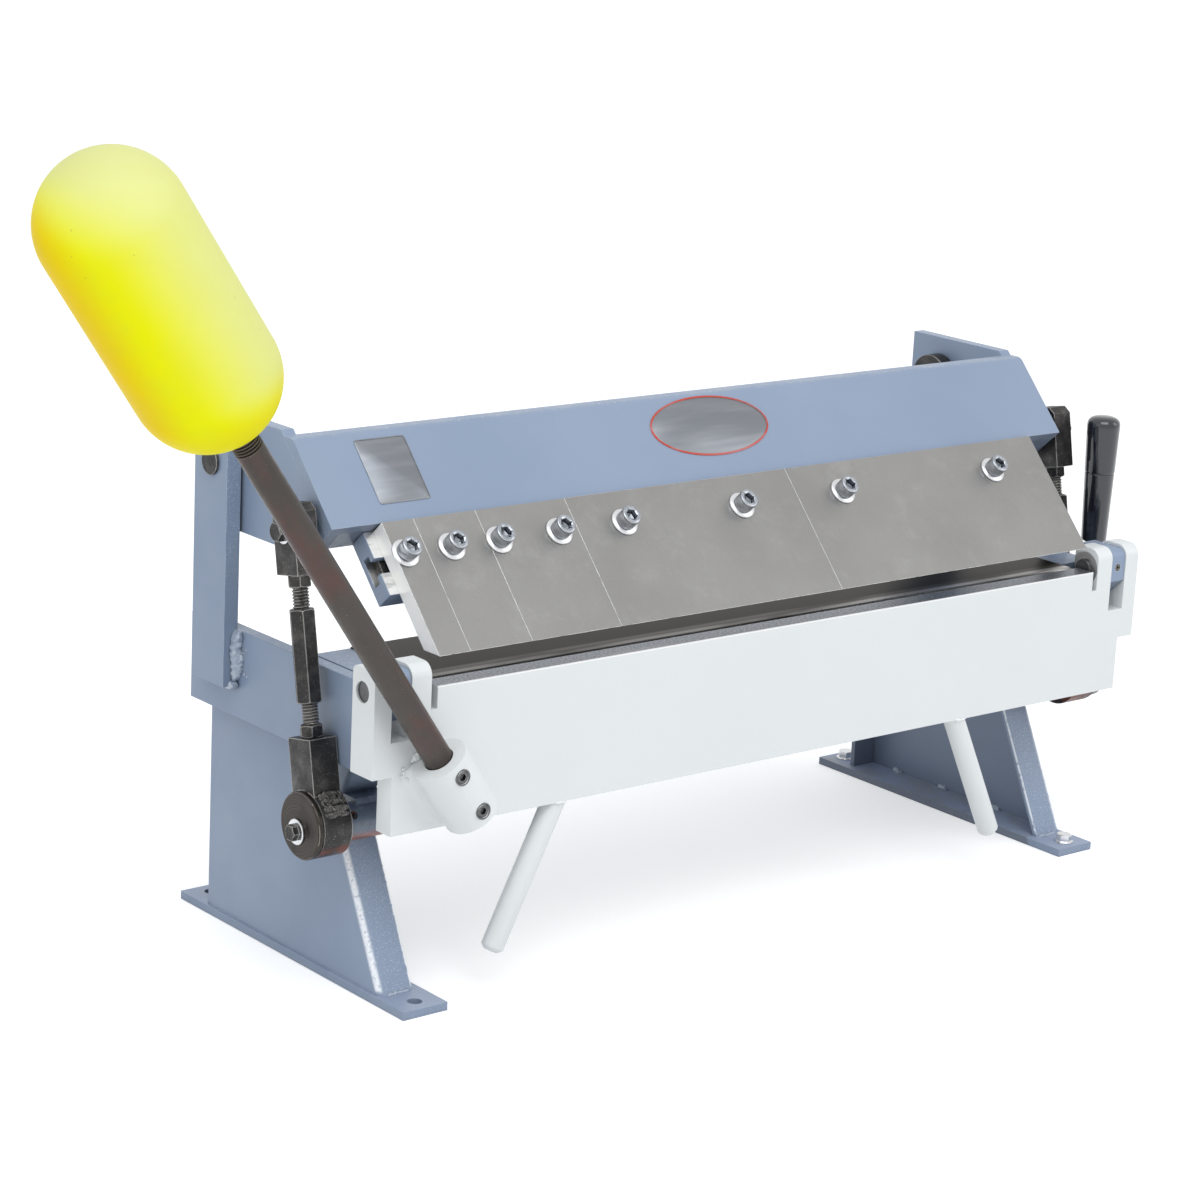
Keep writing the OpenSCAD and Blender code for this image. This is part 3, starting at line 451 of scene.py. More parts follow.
def black_oxide_finish(name="black_oxide", worn=0.95):
    """Oiled black oxide with the bright metal showing along the edges and in small specks."""
    f = Finish(name, (0.030, 0.029, 0.029), 0.36, metallic=0.6)
    f.paint(f.cloud(90, 4, 0.42, 0.7), (0.085, 0.078, 0.074), 0.7)
    f.paint(f.cloud(900, 3, 0.58, 0.72), (0.20, 0.19, 0.185), 0.5)
    f.paint(f.specks(700, 0.09), (0.62, 0.62, 0.60), 0.9)
    f.paint(f.both(f.edges(1.1 * MM, 0.02, 0.12), f.cloud(160, 3, 0.25, 0.45)), (0.60, 0.58, 0.55), worn)
    f.shift("Roughness", f.cloud(160, 3, 0.35, 0.65), 0.52)
    f.bump(f.noise(800, 3), 0.16, 0.15 * MM)
    return f


def strap_finish():
    """The straps' black oxide, with a painted red-brown reflection low on the ring."""
    f = black_oxide_finish("strap_oxide")
    reflection_at = 106 * MM
    # Painted reflection of a red-brown surface, in a band low on the ring
    low = f.near(f.along(Z), reflection_at, 3 * MM, 5 * MM)
    f.paint(f.both(low, f.cloud(80, 3, 0.3, 0.55)), REFLECTED_RED, 0.8)
    return f


def mill_steel_finish():
    """Hot rolled bar: brown-black scale, drawn out along the bar, with a purple bloom and rust."""
    f = Finish("mill_steel", (0.066, 0.057, 0.052), 0.28, metallic=0.75)
    lean = (0, BAR_LEAN, 0)
    f.paint(f.cloud(16, 4, 0.4, 0.7, (1, 1, 0.2), lean), (0.10, 0.088, 0.078), 0.8)
    f.paint(f.cloud(30, 5, 0.50, 0.70, (1, 1, 0.4), lean, 0.7), (0.120, 0.052, 0.045), 0.5)
    f.paint(f.cloud(45, 4, 0.56, 0.76, (1, 1, 0.4), lean, 0.7), (0.085, 0.06, 0.09), 0.45)
    f.paint(f.specks(300, 0.10), (0.32, 0.27, 0.25), 0.5)
    f.paint(f.edges(0.4 * MM), (0.3, 0.28, 0.26), 0.7)
    f.shift("Roughness", f.cloud(120, 3, 0.3, 0.7), 0.44)
    f.bump(f.noise(500, 4), 0.12, 0.1 * MM)
    return f


def grip_finish():
    """Glossy black moulded plastic."""
    f = Finish("grip_plastic", (0.010, 0.012, 0.018), 0.10)
    f.shift("Roughness", f.cloud(50, 3, 0.4, 0.7), 0.17)
    f.bump(f.noise(260, 2), 0.02, 0.05 * MM)
    f.set(Coat_Weight=0.7, Coat_Roughness=0.05)
    return f


def plate_finish(name, colour, metallic=0.9):
    """Metal foil of the blank plates, finely brushed."""
    f = Finish(name, colour, 0.34, metallic=metallic)
    f.paint(f.cloud(140, 3, 0.4, 0.7, (0.1, 1, 1)), (0.36, 0.37, 0.39), 0.3)
    f.paint(f.edges(0.2 * MM), BRIGHT_STEEL, 0.6)
    f.shift("Roughness", f.noise(60, 3), 0.42)
    return f


frame_paint, apron_paint, weight_paint = frame_enamel(), apron_enamel(), weight_enamel()
ground_steel, bed_steel, bar_enamel = ground_finish(), bed_finish(), bar_paint()
black_oxide, strap_oxide, mill_steel = black_oxide_finish(), strap_finish(), mill_steel_finish()
grip_plastic, weld_oxide = grip_finish(), black_oxide_finish("weld_oxide", 0.3)
bearing_shaded_paint, browned_steel, screw_steel = bearing_finish(), keeper_finish(), screw_finish()
frame_weld = weld_enamel("frame_weld", (0.33, 0.39, 0.50), (0.60, 0.66, 0.74))
apron_weld = weld_enamel("apron_weld", APRON_WHITE, APRON_PALE)
turned_steel = steel("turned_steel", (0.085, 0.087, 0.09), 0.28, (0.42, 0.42, 0.42), 40)
zinc = steel("zinc_plate", (0.66, 0.67, 0.69), 0.22, (0.97, 0.97, 0.97), 60)
plate_silver = plate_finish("plate_silver", (0.22, 0.235, 0.26))
plate_red = plate_finish("plate_red", (0.50, 0.05, 0.03), 0.3)

FINISH_OF = {
    "frame_paint": frame_paint, "apron_paint": apron_paint, "weight_paint": weight_paint,
    "ground_steel": ground_steel, "polished_steel": bed_steel, "turned_steel": turned_steel,
    "black_oxide": black_oxide, "mill_steel": mill_steel, "zinc": zinc, "grip_plastic": grip_plastic,
}


# Mesh tools

# Angles in degrees up to which faces are shaded as one
CRISP, SMALL, SOFT = 30, 40, 60


def piece(name, bm, body, finish, smooth=35):
    """A finished piece of the object from a bmesh, riding on its body."""
    bmesh.ops.recalc_face_normals(bm, faces=bm.faces)
    mesh = bpy.data.meshes.new(name)
    bm.to_mesh(mesh)
    bm.free()
    mesh.materials.append(finish.material)
    mesh.shade_smooth()
    mesh.set_sharp_from_angle(angle=math.radians(smooth))
    ob = bpy.data.objects.new(name, mesh)
    bpy.context.collection.objects.link(ob)
    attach(ob, body)
    return ob


def tube(bm, rings, place=Matrix()):
    """Closed skin through rings of points, each ring with the same number of points."""
    rows = [[bm.verts.new(place @ Vector(p)) for p in ring] for ring in rings]
    count = len(rows[0])
    for low, high in zip(rows, rows[1:]):
        for i in range(count):
            j = (i + 1) % count
            bm.faces.new((low[i], low[j], high[j], high[i]))
    bm.faces.new(rows[0][::-1])
    bm.faces.new(rows[-1])


def circle(radius, height, count):
    """Ring of points about z; radius is a number or a function of the angle."""
    steps = [math.tau * i / count for i in range(count)]
    far = radius if callable(radius) else lambda a: radius
    return [(far(a) * math.cos(a), far(a) * math.sin(a), height) for a in steps]


def lathe(bm, profile, place, count=64):
    """Turned solid from (radius, height) pairs; a radius may be a function of the angle."""
    tube(bm, [circle(r, h, count) for r, h in profile], place)


def hexagon(across, cap=None):
    """Radius of a hexagon by angle, with a corner at 0, cut by a circle."""
    sixth = math.pi / 3

    def radius(a):
        r = across / 2 / math.cos(a % sixth - sixth / 2)
        return min(r, cap) if cap else r

    return radius


def hex_solid(bm, place, at, across, height, both=True):
    """Hexagon head or nut from a height upwards, its corners turned off at one end or both."""
    flat, corner = across / 2, across / 2 / math.cos(math.pi / 6)
    slope = math.tan(math.radians(30))
    steps = [flat * 0.95 + (corner - flat * 0.95) * i / 6 for i in range(7)]
    ends = [((cap - flat * 0.95) * slope, cap) for cap in steps]
    low = [(hexagon(across, cap), h) for h, cap in ends] if both else [(hexagon(across), 0.0)]
    high = [(hexagon(across, cap), height - h) for h, cap in ends[::-1]]
    lathe(bm, [(r, at + h) for r, h in low + high], place, 60)


def in_mm(*points):
    """Points of an outline written in millimetres."""
    return [tuple(value * MM for value in point) for point in points]


def along_x(point, side):
    """Frame at a point, with z pointing outwards along X on one side."""
    out = X * side
    return axes(point, Y, out.cross(Y), out)


# Shares of a bead's radius: its steps, its lumps and the lag of its sides
STEP_SHARE, LUMP_SHARE, LAG_SHARE = 0.12, 0.32, 0.5


def bead(bm, path, radius, seed, ripple=0.2, side=None):
    """Hand-laid weld: an uneven tube along a path, with the crescent ripples of the moving puddle."""
    rng, count = random.Random(seed), 14
    shift = Vector([rng.uniform(-9, 9) for _ in range(3)])
    points = [Vector(p) for p in path]
    length = sum((b - a).length for a, b in zip(points, points[1:]))
    steps = max(10, int(length / (radius * STEP_SHARE)))
    rows = []
    for i in range(steps + 1):
        t = length * i / steps
        for a, b in zip(points, points[1:]):
            reach, way = (b - a).length, (b - a).normalized()
            if t <= reach or b is points[-1]:
                break
            t -= reach
        at = a + way * min(t, reach)
        cross = way.cross(side if side else (Z if abs(way.z) < 0.9 else X)).normalized()
        lift = cross.cross(way)
        stage = length * i / steps / radius
        wander = noise.noise(shift + Vector((stage * 0.45, 0, 0)))
        wave = 1 - abs(math.sin(math.pi * (stage * 1.15 + 0.5 * wander)))
        end = math.sqrt(min(1.0, (min(i, steps - i) + 1) / steps * length / radius))
        swell = radius * end * (1 - ripple * wave + 0.35 * wander)
        drift = (cross * noise.noise(shift + Vector((0, stage * 0.4, 0))) * 0.6) * radius
        ring = []
        for k in range(count):
            a = math.tau * k / count
            spot = shift + Vector((stage * 1.1, math.cos(a) * 1.3, math.sin(a) * 1.3))
            lump = swell * (1 + LUMP_SHARE * noise.noise(spot))
            lag = way * radius * LAG_SHARE * math.cos(a) ** 2
            ring.append(at + drift + cross * math.cos(a) * lump + lift * math.sin(a) * lump - lag)
        rows.append(ring)
    tube(bm, rows)


def spatter(bm, centre, spread, count, size, seed):
    """Small drops of weld metal scattered about a place."""
    rng = random.Random(seed)
    for _ in range(count):
        off = Vector([rng.uniform(-s, s) for s in spread])
        r = size * rng.uniform(0.5, 1.2)
        place = Matrix.Translation(Vector(centre) + off)
        new = bmesh.ops.create_icosphere(bm, subdivisions=2, radius=r, matrix=place)["verts"]
        for v in new:
            v.co += (v.co - place.translation) * noise.noise(v.co / (r * 1.4)) * 0.5


def thread(bm, place, start, end, core, crest, pitch, count=32):
    """Helical ridge round z between two heights, fading into its core at both ends."""
    steps = int((end - start) / pitch * count)
    foot, crown, sunk = pitch * 0.46, pitch * 0.46 * 0.22, core * 0.96
    rows = []
    for i in range(steps + 1):
        a, z = math.tau * i / count, start + (end - start) * i / steps
        fade = min(1.0, i / count * 2, (steps - i) / count * 2)
        out = core + (crest - core) * fade
        rise = ((sunk, foot), (core, foot * 0.9), (out, crown))
        section = [(r, -dz) for r, dz in rise] + list(rise[::-1])
        rows.append([(r * math.cos(a), r * math.sin(a), z + dz) for r, dz in section])
    tube(bm, rows, place)


# The CAD shapes, finished

MERGE, HAIR, LEG_FOLD = 0.001 * MM, 0.1 * MM, 20 * MM
FLAT_ANGLE, EDGE_ANGLE = math.radians(0.6), math.radians(28)


def dress(node, width, segments=2, finish=None, bends=None, trim=None):
    """The CAD node's own shape with its edges broken, standing in for the node."""
    bm = bmesh.new()
    bm.from_mesh(frame["nodes"][node].data)
    if trim:
        for v in bm.verts:
            v.co = trim(v.co)
    bmesh.ops.remove_doubles(bm, verts=bm.verts, dist=MERGE)
    bmesh.ops.dissolve_limit(bm, angle_limit=FLAT_ANGLE, verts=bm.verts, edges=bm.edges)
    if bends:
        chosen = [e for e in bm.edges if bends(*(v.co for v in e.verts))]
        bmesh.ops.bevel(bm, geom=chosen, offset=LEG_BEND, offset_type="OFFSET", segments=5, profile=0.5,
                        affect="EDGES", clamp_overlap=True)
    slot = SLOT_OF[node]
    ob = piece(node + "_finished", bm, BODY_OF[node], finish or FINISH_OF[slot])
    bevel = ob.modifiers.new("edges", "BEVEL")
    bevel.width = width
    bevel.segments = segments
    bevel.limit_method = "ANGLE"
    bevel.angle_limit = EDGE_ANGLE
    bevel.use_clamp_overlap = True
    bevel.harden_normals = True
    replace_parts(ob, node)


def leg_bend(a, b):
    """The folded corners of a leg's channel: edges on its outer face that run up from the foot."""
    outer = all(abs(abs(p.x) - LEG_OUT) < HAIR for p in (a, b))
    return outer and abs(a.z - b.z) > LEG_FOLD


# The beam plate's trimmed top, the bend of the legs, and the widths of the other broken edges
BEAM_TOP, BEAM_TRIM, LEG_BEND = 360 * MM, 4.5 * MM, 4.2 * MM
FINGER_EDGE, BED_EDGE, LEG_EDGE, PIN_EDGE = 0.3 * MM, 0.35 * MM, 0.45 * MM, 0.5 * MM
PLATE_EDGE, BLOCK_EDGE, APRON_EDGE, UPRIGHT_EDGE = 0.7 * MM, 0.8 * MM, 0.9 * MM, 1.6 * MM


def beam_trim(point):
    """Draws the top edge of the beam's plate down its slope, below the cheeks."""
    return point - FACE_UP * BEAM_TRIM if point.z > BEAM_TOP else point


for name in SIDES:
    dress(f"leg_{name}", LEG_EDGE, bends=leg_bend)
    for edge_node in ("end_plate", "hinge_block"):
        dress(f"{edge_node}_{name}", BLOCK_EDGE)
    dress(f"shaft_bearing_{name}", BLOCK_EDGE, finish=bearing_shaded_paint)
    dress(f"upright_{name}", UPRIGHT_EDGE, 3)
    dress(f"upper_eye_{name}", PLATE_EDGE, finish=black_oxide)
    dress(f"strap_{name}", PLATE_EDGE, finish=strap_oxide)
    dress(f"keeper_{name}", BLOCK_EDGE, 3, finish=browned_steel)
for edge_node in ("beam_cheek_left", "beam_cheek_right", "bed_channel"):
    dress(edge_node, PLATE_EDGE)
dress("beam_plate", PLATE_EDGE, trim=beam_trim)
dress("apron", APRON_EDGE, 3)
dress("socket", APRON_EDGE, 3)
for inches in FINGER_INCHES:
    dress(f"finger_{inches}in", FINGER_EDGE)
dress("bed_plate", BED_EDGE)
dress("finger_bar", PIN_EDGE, finish=bar_enamel)
for edge_node in ("hinge_pins", "pivot_pins", "pivot_collars", "clamp_lever", "handle_left", "handle_right"):
    dress(edge_node, PIN_EDGE)


# Turned and small pieces

# Counterweight and grip
WEIGHT_AT, WEIGHT_L, WEIGHT_R = 274.7 * MM, 203.95 * MM, 45.95 * MM
bm = bmesh.new()
dome = [(math.cos(a) * WEIGHT_R, math.sin(a) * WEIGHT_R) for a in map(math.radians, range(-86, 90, 4))]
lathe(bm, [(r, WEIGHT_AT + (WEIGHT_R if h <= 0 else WEIGHT_L - WEIGHT_R) + h) for r, h in dome], ON_BAR, 96)
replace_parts(piece("counterweight_dipped", bm, "apron", weight_paint, SOFT), "counterweight")

GRIP_AT = Vector((378.35 * MM, SHAFT.y, 228 * MM))
bm = bmesh.new()
grip_profile = in_mm((6.8, 0), (8.9, 0), (9.7, 0.5), (10.0, 1.5), (11.62, 54.0), (11.66, 54.6), (11.5, 55.0),
                     (11.5, 55.3), (11.75, 55.7), (11.85, 56.3), (12.9, 90), (12.93, 93), (12.6, 95),
                     (11.8, 96.6), (10.0, 98.3), (7.0, 99.4), (3.5, 99.9), (0.5, 100))
lathe(bm, grip_profile, Matrix.Translation(GRIP_AT))
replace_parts(piece("grip_moulded", bm, "clamp_shaft", grip_plastic, 50), "grip")

# Finger fixings: knurled cap screws, washers and T-nuts
SCREW_SHARES = ((0.3,), (0.39,), (0.11, 0.78), (0.2, 0.73), (0.17, 0.78))
SLOT_S, BED_HALF = 76.3 * MM, 12 * INCH
SEAT = 0.05 * MM  # air between pieces that touch
WASHER_R, WASHER_T = 10.3 * MM, 1.8 * MM
HEAD_R, HEAD_L, HEAD_HEX, HEAD_RIM, SHANK_L = 7.1 * MM, 9.5 * MM, 7.94 * MM, 0.55 * MM, 24 * MM
KNURLS, KNURL_DEPTH, KNURL_LOW, KNURL_HIGH = 40, 0.28 * MM, 1.0 * MM, HEAD_L - 1.7 * MM
TEE_N, TEE_D, TEE_W, NUT_L, NUT_GAP, NUT_EDGE = 24.5 * MM, 6.5 * MM, 20.6 * MM, 18 * MM, 0.3 * MM, 0.5 * MM
screw_turns = random.Random(8)


def cap_screw(bm, x):
    """Socket head cap screw on its washer, knurled round the head and turned at random."""
    spin = Matrix.Rotation(screw_turns.uniform(0, math.tau / 6), 4, "Z")
    place = ON_FACE @ Matrix.Translation((x, SLOT_S, WASHER_T + 2 * SEAT)) @ spin

    def knurl(depth):
        return lambda a: HEAD_R - depth * (0.5 - 0.5 * math.cos(a * KNURLS))

    crest, valley, socket = knurl(0), knurl(KNURL_DEPTH), hexagon(HEAD_HEX)
    lathe(bm, [
        (HEAD_R * 0.93, 0), (HEAD_R, 0.4 * MM), (crest, KNURL_LOW), (valley, KNURL_LOW + 0.4 * MM),
        (valley, KNURL_HIGH - 0.4 * MM), (crest, KNURL_HIGH), (HEAD_R, HEAD_L - HEAD_RIM * 1.4),
        (HEAD_R - HEAD_RIM * 0.4, HEAD_L - HEAD_RIM * 0.4), (HEAD_R - HEAD_RIM, HEAD_L),
        (HEAD_HEX / 2 + 0.95 * MM, HEAD_L), (socket, HEAD_L - 0.6 * MM), (socket, HEAD_L - 5 * MM),
        (HEAD_HEX * 0.2, HEAD_L - 6 * MM),
    ], place, KNURLS * 4)
    lathe(bm, [(4.7 * MM, -SHANK_L), (4.75 * MM, 0.3 * MM)], place, 24)


def washer(bm, x):
    """Pressed washer with one rounded rim."""
    place = ON_FACE @ Matrix.Translation((x, SLOT_S, SEAT))
    r, t, bore = WASHER_R, WASHER_T, 4.85 * MM
    lathe(bm, [(r - 0.5 * MM, 0), (r - 0.1 * MM, 0.25 * MM), (r, 0.8 * MM), (r - 0.25 * MM, 1.4 * MM),
               (r - 0.8 * MM, t), (bore + 0.35 * MM, t), (bore, t - 0.3 * MM), (bore, t - 0.6 * MM)], place)


def tee_nut(bm, x):
    """T-nut in the slot, its edges broken."""
    size = (NUT_L, TEE_W - 2 * NUT_GAP, TEE_D - 2 * NUT_GAP)
    place = ON_FACE @ Matrix.Translation((x, SLOT_S, -TEE_N + TEE_D / 2)) @ Matrix.Diagonal((*size, 1))
    verts = bmesh.ops.create_cube(bm, size=1, matrix=place)["verts"]
    edges = {e for v in verts for e in v.link_edges}
    bmesh.ops.bevel(bm, geom=list(edges), offset=NUT_EDGE, segments=2, profile=0.5, affect="EDGES")


places, left = [], -BED_HALF
for inches, shares in zip(FINGER_INCHES, SCREW_SHARES):
    places.append([left + share * inches * INCH for share in shares])
    left += inches * INCH
inner = [x for row in places[1:-1] for x in row]
KINDS = (("screws", cap_screw, screw_steel), ("washers", washer, zinc), ("nuts", tee_nut, black_oxide))
for xs, body, nodes in (
    (inner, "clamp_beam", {"screws": "finger_screws", "washers": "finger_washers", "nuts": "finger_nuts"}),
    (places[0], "finger_1in", {"screws": "fixings_1in"}),
    (places[-1], "finger_10in", {"screws": "fixings_10in"}),
):
    for kind, make, look in KINDS:
        bm = bmesh.new()
        for x in xs:
            make(bm, x)
        ob = piece(f"{body}_{kind}", bm, body, look, SMALL)
        if kind in nodes:
            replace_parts(ob, nodes[kind])

# Hexagons of the links: turnbuckles and lock nuts with turned corners, threads on the studs
HEX_AF, HEX_AT, HEX_L = 15.9 * MM, 79.6 * MM, 62 * MM
NUT_AF, NUT_H, STRAP_END = 14.3 * MM, 8.3 * MM, 57 * MM
EYE_AT = (LINK_TOP - LINK_FOOT).length - 29.4 * MM
STUD_R, CREST_R, PITCH, SCREWED_IN = 4.75 * MM, 5.65 * MM, 2.1 * MM, 3 * MM
for name, side in SIDES.items():
    place, link, turnbuckle = on_link(side), f"link_{name}", f"turnbuckle_{name}"
    bm = bmesh.new()
    hex_solid(bm, place, HEX_AT, HEX_AF, HEX_L)
    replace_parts(piece(f"{turnbuckle}_turned", bm, turnbuckle, black_oxide, CRISP), turnbuckle)
    bm = bmesh.new()
    for at in (STRAP_END + SEAT, EYE_AT - NUT_H - SEAT):
        hex_solid(bm, place, at, NUT_AF, NUT_H)
    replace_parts(piece(f"lock_nuts_{name}_turned", bm, link, black_oxide, CRISP),
                f"lock_nuts_{name}")
    bm = bmesh.new()
    thread(bm, place, STRAP_END + NUT_H, HEX_AT + SCREWED_IN, STUD_R, CREST_R, PITCH)
    thread(bm, place, HEX_AT + HEX_L - SCREWED_IN, EYE_AT - NUT_H, STUD_R, CREST_R, PITCH)
    piece(f"stud_threads_{name}", bm, link, black_oxide, CRISP)

# Bolts of the links and of the clamp shaft
LINK_BOLT_OUT, LINK_BOLT_AF, LINK_BOLT_H = 365.05 * MM, 12 * MM, 5.6 * MM
LINK_BOLT_R, LINK_BOLT_L, LINK_WASHER_T = 4 * MM, 33 * MM, 1.45 * MM
bm, washers = bmesh.new(), bmesh.new()
for side in SIDES.values():
    place = along_x(LINK_TOP + X * side * LINK_BOLT_OUT, side)
    lathe(washers, in_mm((8.2, 0), (8.5, 0.3), (8.5, 1.1)) + [(8.1 * MM, LINK_WASHER_T)], place)
    lathe(bm, [(LINK_BOLT_R, -LINK_BOLT_L), (LINK_BOLT_R, LINK_WASHER_T - SEAT)], place, 32)
    hex_solid(bm, place, LINK_WASHER_T + SEAT, LINK_BOLT_AF, LINK_BOLT_H, False)
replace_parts(piece("link_bolts", bm, "clamp_beam", black_oxide, CRISP), "link_pins")
piece("link_bolt_washers", washers, "clamp_beam", zinc)

KEEPER_OUT, HUB_OUT, END_WASHER_R, END_WASHER_T = 371.3 * MM, 385.35 * MM, 8.75 * MM, 1.8 * MM
END_AF, END_H, END_R, END_L = 10 * MM, 4.6 * MM, 3 * MM, 18 * MM
bm, washers = bmesh.new(), bmesh.new()
for side, out in ((-1, KEEPER_OUT), (1, HUB_OUT)):
    place = along_x(SHAFT + X * side * (out + SEAT), side)
    lathe(washers, [(END_WASHER_R - 0.3 * MM, 0), (END_WASHER_R, 0.4 * MM), (END_WASHER_R, 1.3 * MM),
                    (END_WASHER_R - 0.5 * MM, END_WASHER_T)], place)
    hex_solid(bm, place, END_WASHER_T + SEAT, END_AF, END_H, False)
    lathe(bm, [(END_R, -END_L), (END_R, END_WASHER_T + 0.2 * MM)], place, 24)
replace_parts(piece("shaft_bolts_turned", bm, "clamp_shaft", black_oxide, CRISP),
            "shaft_bolts")
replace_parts(piece("shaft_washers_turned", washers, "clamp_shaft", zinc), "shaft_washers")

# Set screws of the socket, from the bar's axis outwards to their cupped hexagon sockets
to_bar = ON_BAR.inverted()
marks = [to_bar @ v.co for v in frame["nodes"]["socket_set_screws"].data.vertices]
middle = sum(p.z for p in marks) / len(marks)
key_way = hexagon(4.6 * MM)
bm = bmesh.new()
for group in ([p for p in marks if p.z < middle], [p for p in marks if p.z >= middle]):
    centre = sum(group, Vector()) / len(group)
    out = Vector((centre.x, centre.y, 0)).normalized()
    place = ON_BAR @ axes(Z * centre.z, Z, out.cross(Z), out)
    seat = in_mm((4.4, 12), (5.6, 18), (5.7, 19.1), (5.3, 19.35), (4.5, 18.9), (4.3, 18.6), (3.9, 18.9))
    lathe(bm, seat + [(key_way, 18.7 * MM), (key_way, 15.5 * MM)] + in_mm((0.8, 14.9)), place, 48)
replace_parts(piece("socket_set_screws_cupped", bm, "apron", turned_steel, SMALL),
            "socket_set_screws")

# Thread on the neck of the counterweight bar
NECK_FROM, NECK_TO, NECK_R, NECK_CREST = 263.5 * MM, 275.5 * MM, 8.6 * MM, 9.5 * MM
bm = bmesh.new()
thread(bm, ON_BAR, NECK_FROM, NECK_TO, NECK_R, NECK_CREST, PITCH, 48)
piece("bar_thread", bm, "apron", mill_steel, CRISP)

# Flanged bolts in the right foot
FOOT_X, FOOT_HOLE_Y = 312 * MM, 124 * MM
FLANGE_T, FOOT_BOLT_AF, FOOT_BOLT_H, FOOT_BOLT_R = 1.5 * MM, 11 * MM, 5 * MM, 4.5 * MM
bm = bmesh.new()
for y, turn in ((-FOOT_HOLE_Y, 0.35), (FOOT_HOLE_Y, 0.9)):
    place = Matrix.Translation((FOOT_X, y, FOOT_TOP)) @ Matrix.Rotation(turn, 4, "Z")
    lathe(bm, in_mm((7.2, 0), (7.5, 0.3), (7.4, 0.8)) + [(6.0 * MM, FLANGE_T)], place)
    hex_solid(bm, place, FLANGE_T - 0.2 * MM, FOOT_BOLT_AF, FOOT_BOLT_H, False)
    lathe(bm, [(FOOT_BOLT_R, 0.2 * MM - FOOT_TOP), (FOOT_BOLT_R, 2 * MM)], place, 32)
piece("foot_bolts", bm, "frame", zinc, CRISP)

# Welds

# Uprights to the end plates: two layers down the front and back edges, and one along the foot of each
UPRIGHT_FRONT, UPRIGHT_BACK, UPRIGHT_LOW = 48.5 * MM, 88.5 * MM, 184 * MM
END_OUT, END_TOP, UPRIGHT_THROAT, SPATTER_Z = 344 * MM, 223.5 * MM, 1.2 * MM, 205 * MM
FIRST_R, SECOND_R, UPRIGHT_FOOT_R, UPRIGHT_DROP_R = 5.0 * MM, 3.6 * MM, 4.4 * MM, 1.1 * MM
for seed, (name, side) in enumerate(SIDES.items()):
    bm = bmesh.new()
    out_x = side * (END_OUT + UPRIGHT_THROAT)
    high, low, foot_z = END_TOP - 1 * MM, UPRIGHT_LOW + 2 * MM, UPRIGHT_LOW + 0.8 * MM
    for y, way in ((UPRIGHT_FRONT, -1), (UPRIGHT_BACK, 1)):
        y += way * UPRIGHT_THROAT
        bead(bm, [(out_x, y, z) for z in (high, low)], FIRST_R, 20 * seed + way, 0.16, X)
        second = [(out_x - side * 1 * MM, y + way * 3 * MM, z) for z in (high - 16 * MM, low + 7 * MM)]
        bead(bm, second, SECOND_R, 33 * seed + way, side=X)
    foot = [(side * (END_OUT + 4 * MM), UPRIGHT_FRONT + dy * MM, foot_z) for dy in (-2, 10)]
    bead(bm, foot, UPRIGHT_FOOT_R, 40 + seed)
    beside = (side * END_OUT, UPRIGHT_FRONT - 8 * MM, SPATTER_Z)
    spatter(bm, beside, (0.3 * MM, 5 * MM, 17 * MM), 9, UPRIGHT_DROP_R, 50 + seed)
    piece(f"upright_weld_{name}", bm, "frame", frame_weld, SOFT)

# Legs to their feet: short tacks inside the channels, and a thin bead under each front
TACK_X, TACK_R, FRONT_X, FRONT_R = 323.2 * MM, 3.0 * MM, 312 * MM, 1.5 * MM
bm = bmesh.new()
for side in SIDES.values():
    for y in (-82, -38, 22, 74):
        tack = [(side * TACK_X, (y + dy) * MM, FOOT_TOP + 0.6 * MM) for dy in (-5, 5)]
        bead(bm, tack, TACK_R, y)
    front = [(side * FRONT_X + dx * MM, LEG_FOOT.y - 0.4 * MM, FOOT_TOP) for dx in (-9, 9)]
    bead(bm, front, FRONT_R, 90 + side)
piece("foot_welds", bm, "frame", frame_weld, SOFT)

# Shaft bearings to the legs
BEARING_WELD, BEARING_R = SHAFT + Vector((0, 7.1, 12.5)) * MM, 2.6 * MM
bm = bmesh.new()
for side in SIDES.values():
    path = [BEARING_WELD + X * side * x * MM for x in (303, 327)]
    bead(bm, path, BEARING_R, 70 + side)
piece("bearing_welds", bm, "frame", bearing_shaded_paint, SOFT)

# Straps: a coarse weld where the block meets the ring, as layers of y, z and radius in millimetres
STRAP_LAYERS = ((13.8, 18.8, 4.2), (17.0, 15.0, 3.6), (19.6, 11.2, 3.0), (21.2, 7.5, 2.2))
STRAP_DROP_R = 1.2 * MM
for seed, (name, side) in enumerate(SIDES.items()):
    place = on_link(side)
    bm = bmesh.new()
    for way in (1, -1):
        for n, (y, z, r) in enumerate(STRAP_LAYERS):
            path = [place @ (Vector((x, way * y, z)) * MM) for x in (-9, 0, 9)]
            bead(bm, path, r * MM, 80 + seed + 7 * n + way, 0.3)
        splash = place @ (Vector((0, way * 20.5, 11)) * MM)
        spatter(bm, splash, (9 * MM, 1.4 * MM, 6 * MM), 26, STRAP_DROP_R, 88 + seed)
    piece(f"strap_weld_{name}", bm, f"link_{name}", weld_oxide, SOFT)

# Socket to the apron: a filled fillet down each side
SOCKET_R, SOCKET_FLAT, SOCKET_L, LEFT_FILL, RIGHT_FILL = 19 * MM, 2 * MM, 50 * MM, 9.0 * MM, 6.0 * MM
FILLET_FOOT, FILLET_SUNK, TOE_SUNK, HEEL_SUNK = 5 * MM, 0.5 * MM, 0.3 * MM, 1.2 * MM
FILLET_BITE, FILLET_FROM, FILLET_SHARE = 0.4 * MM, 0.015, 0.97


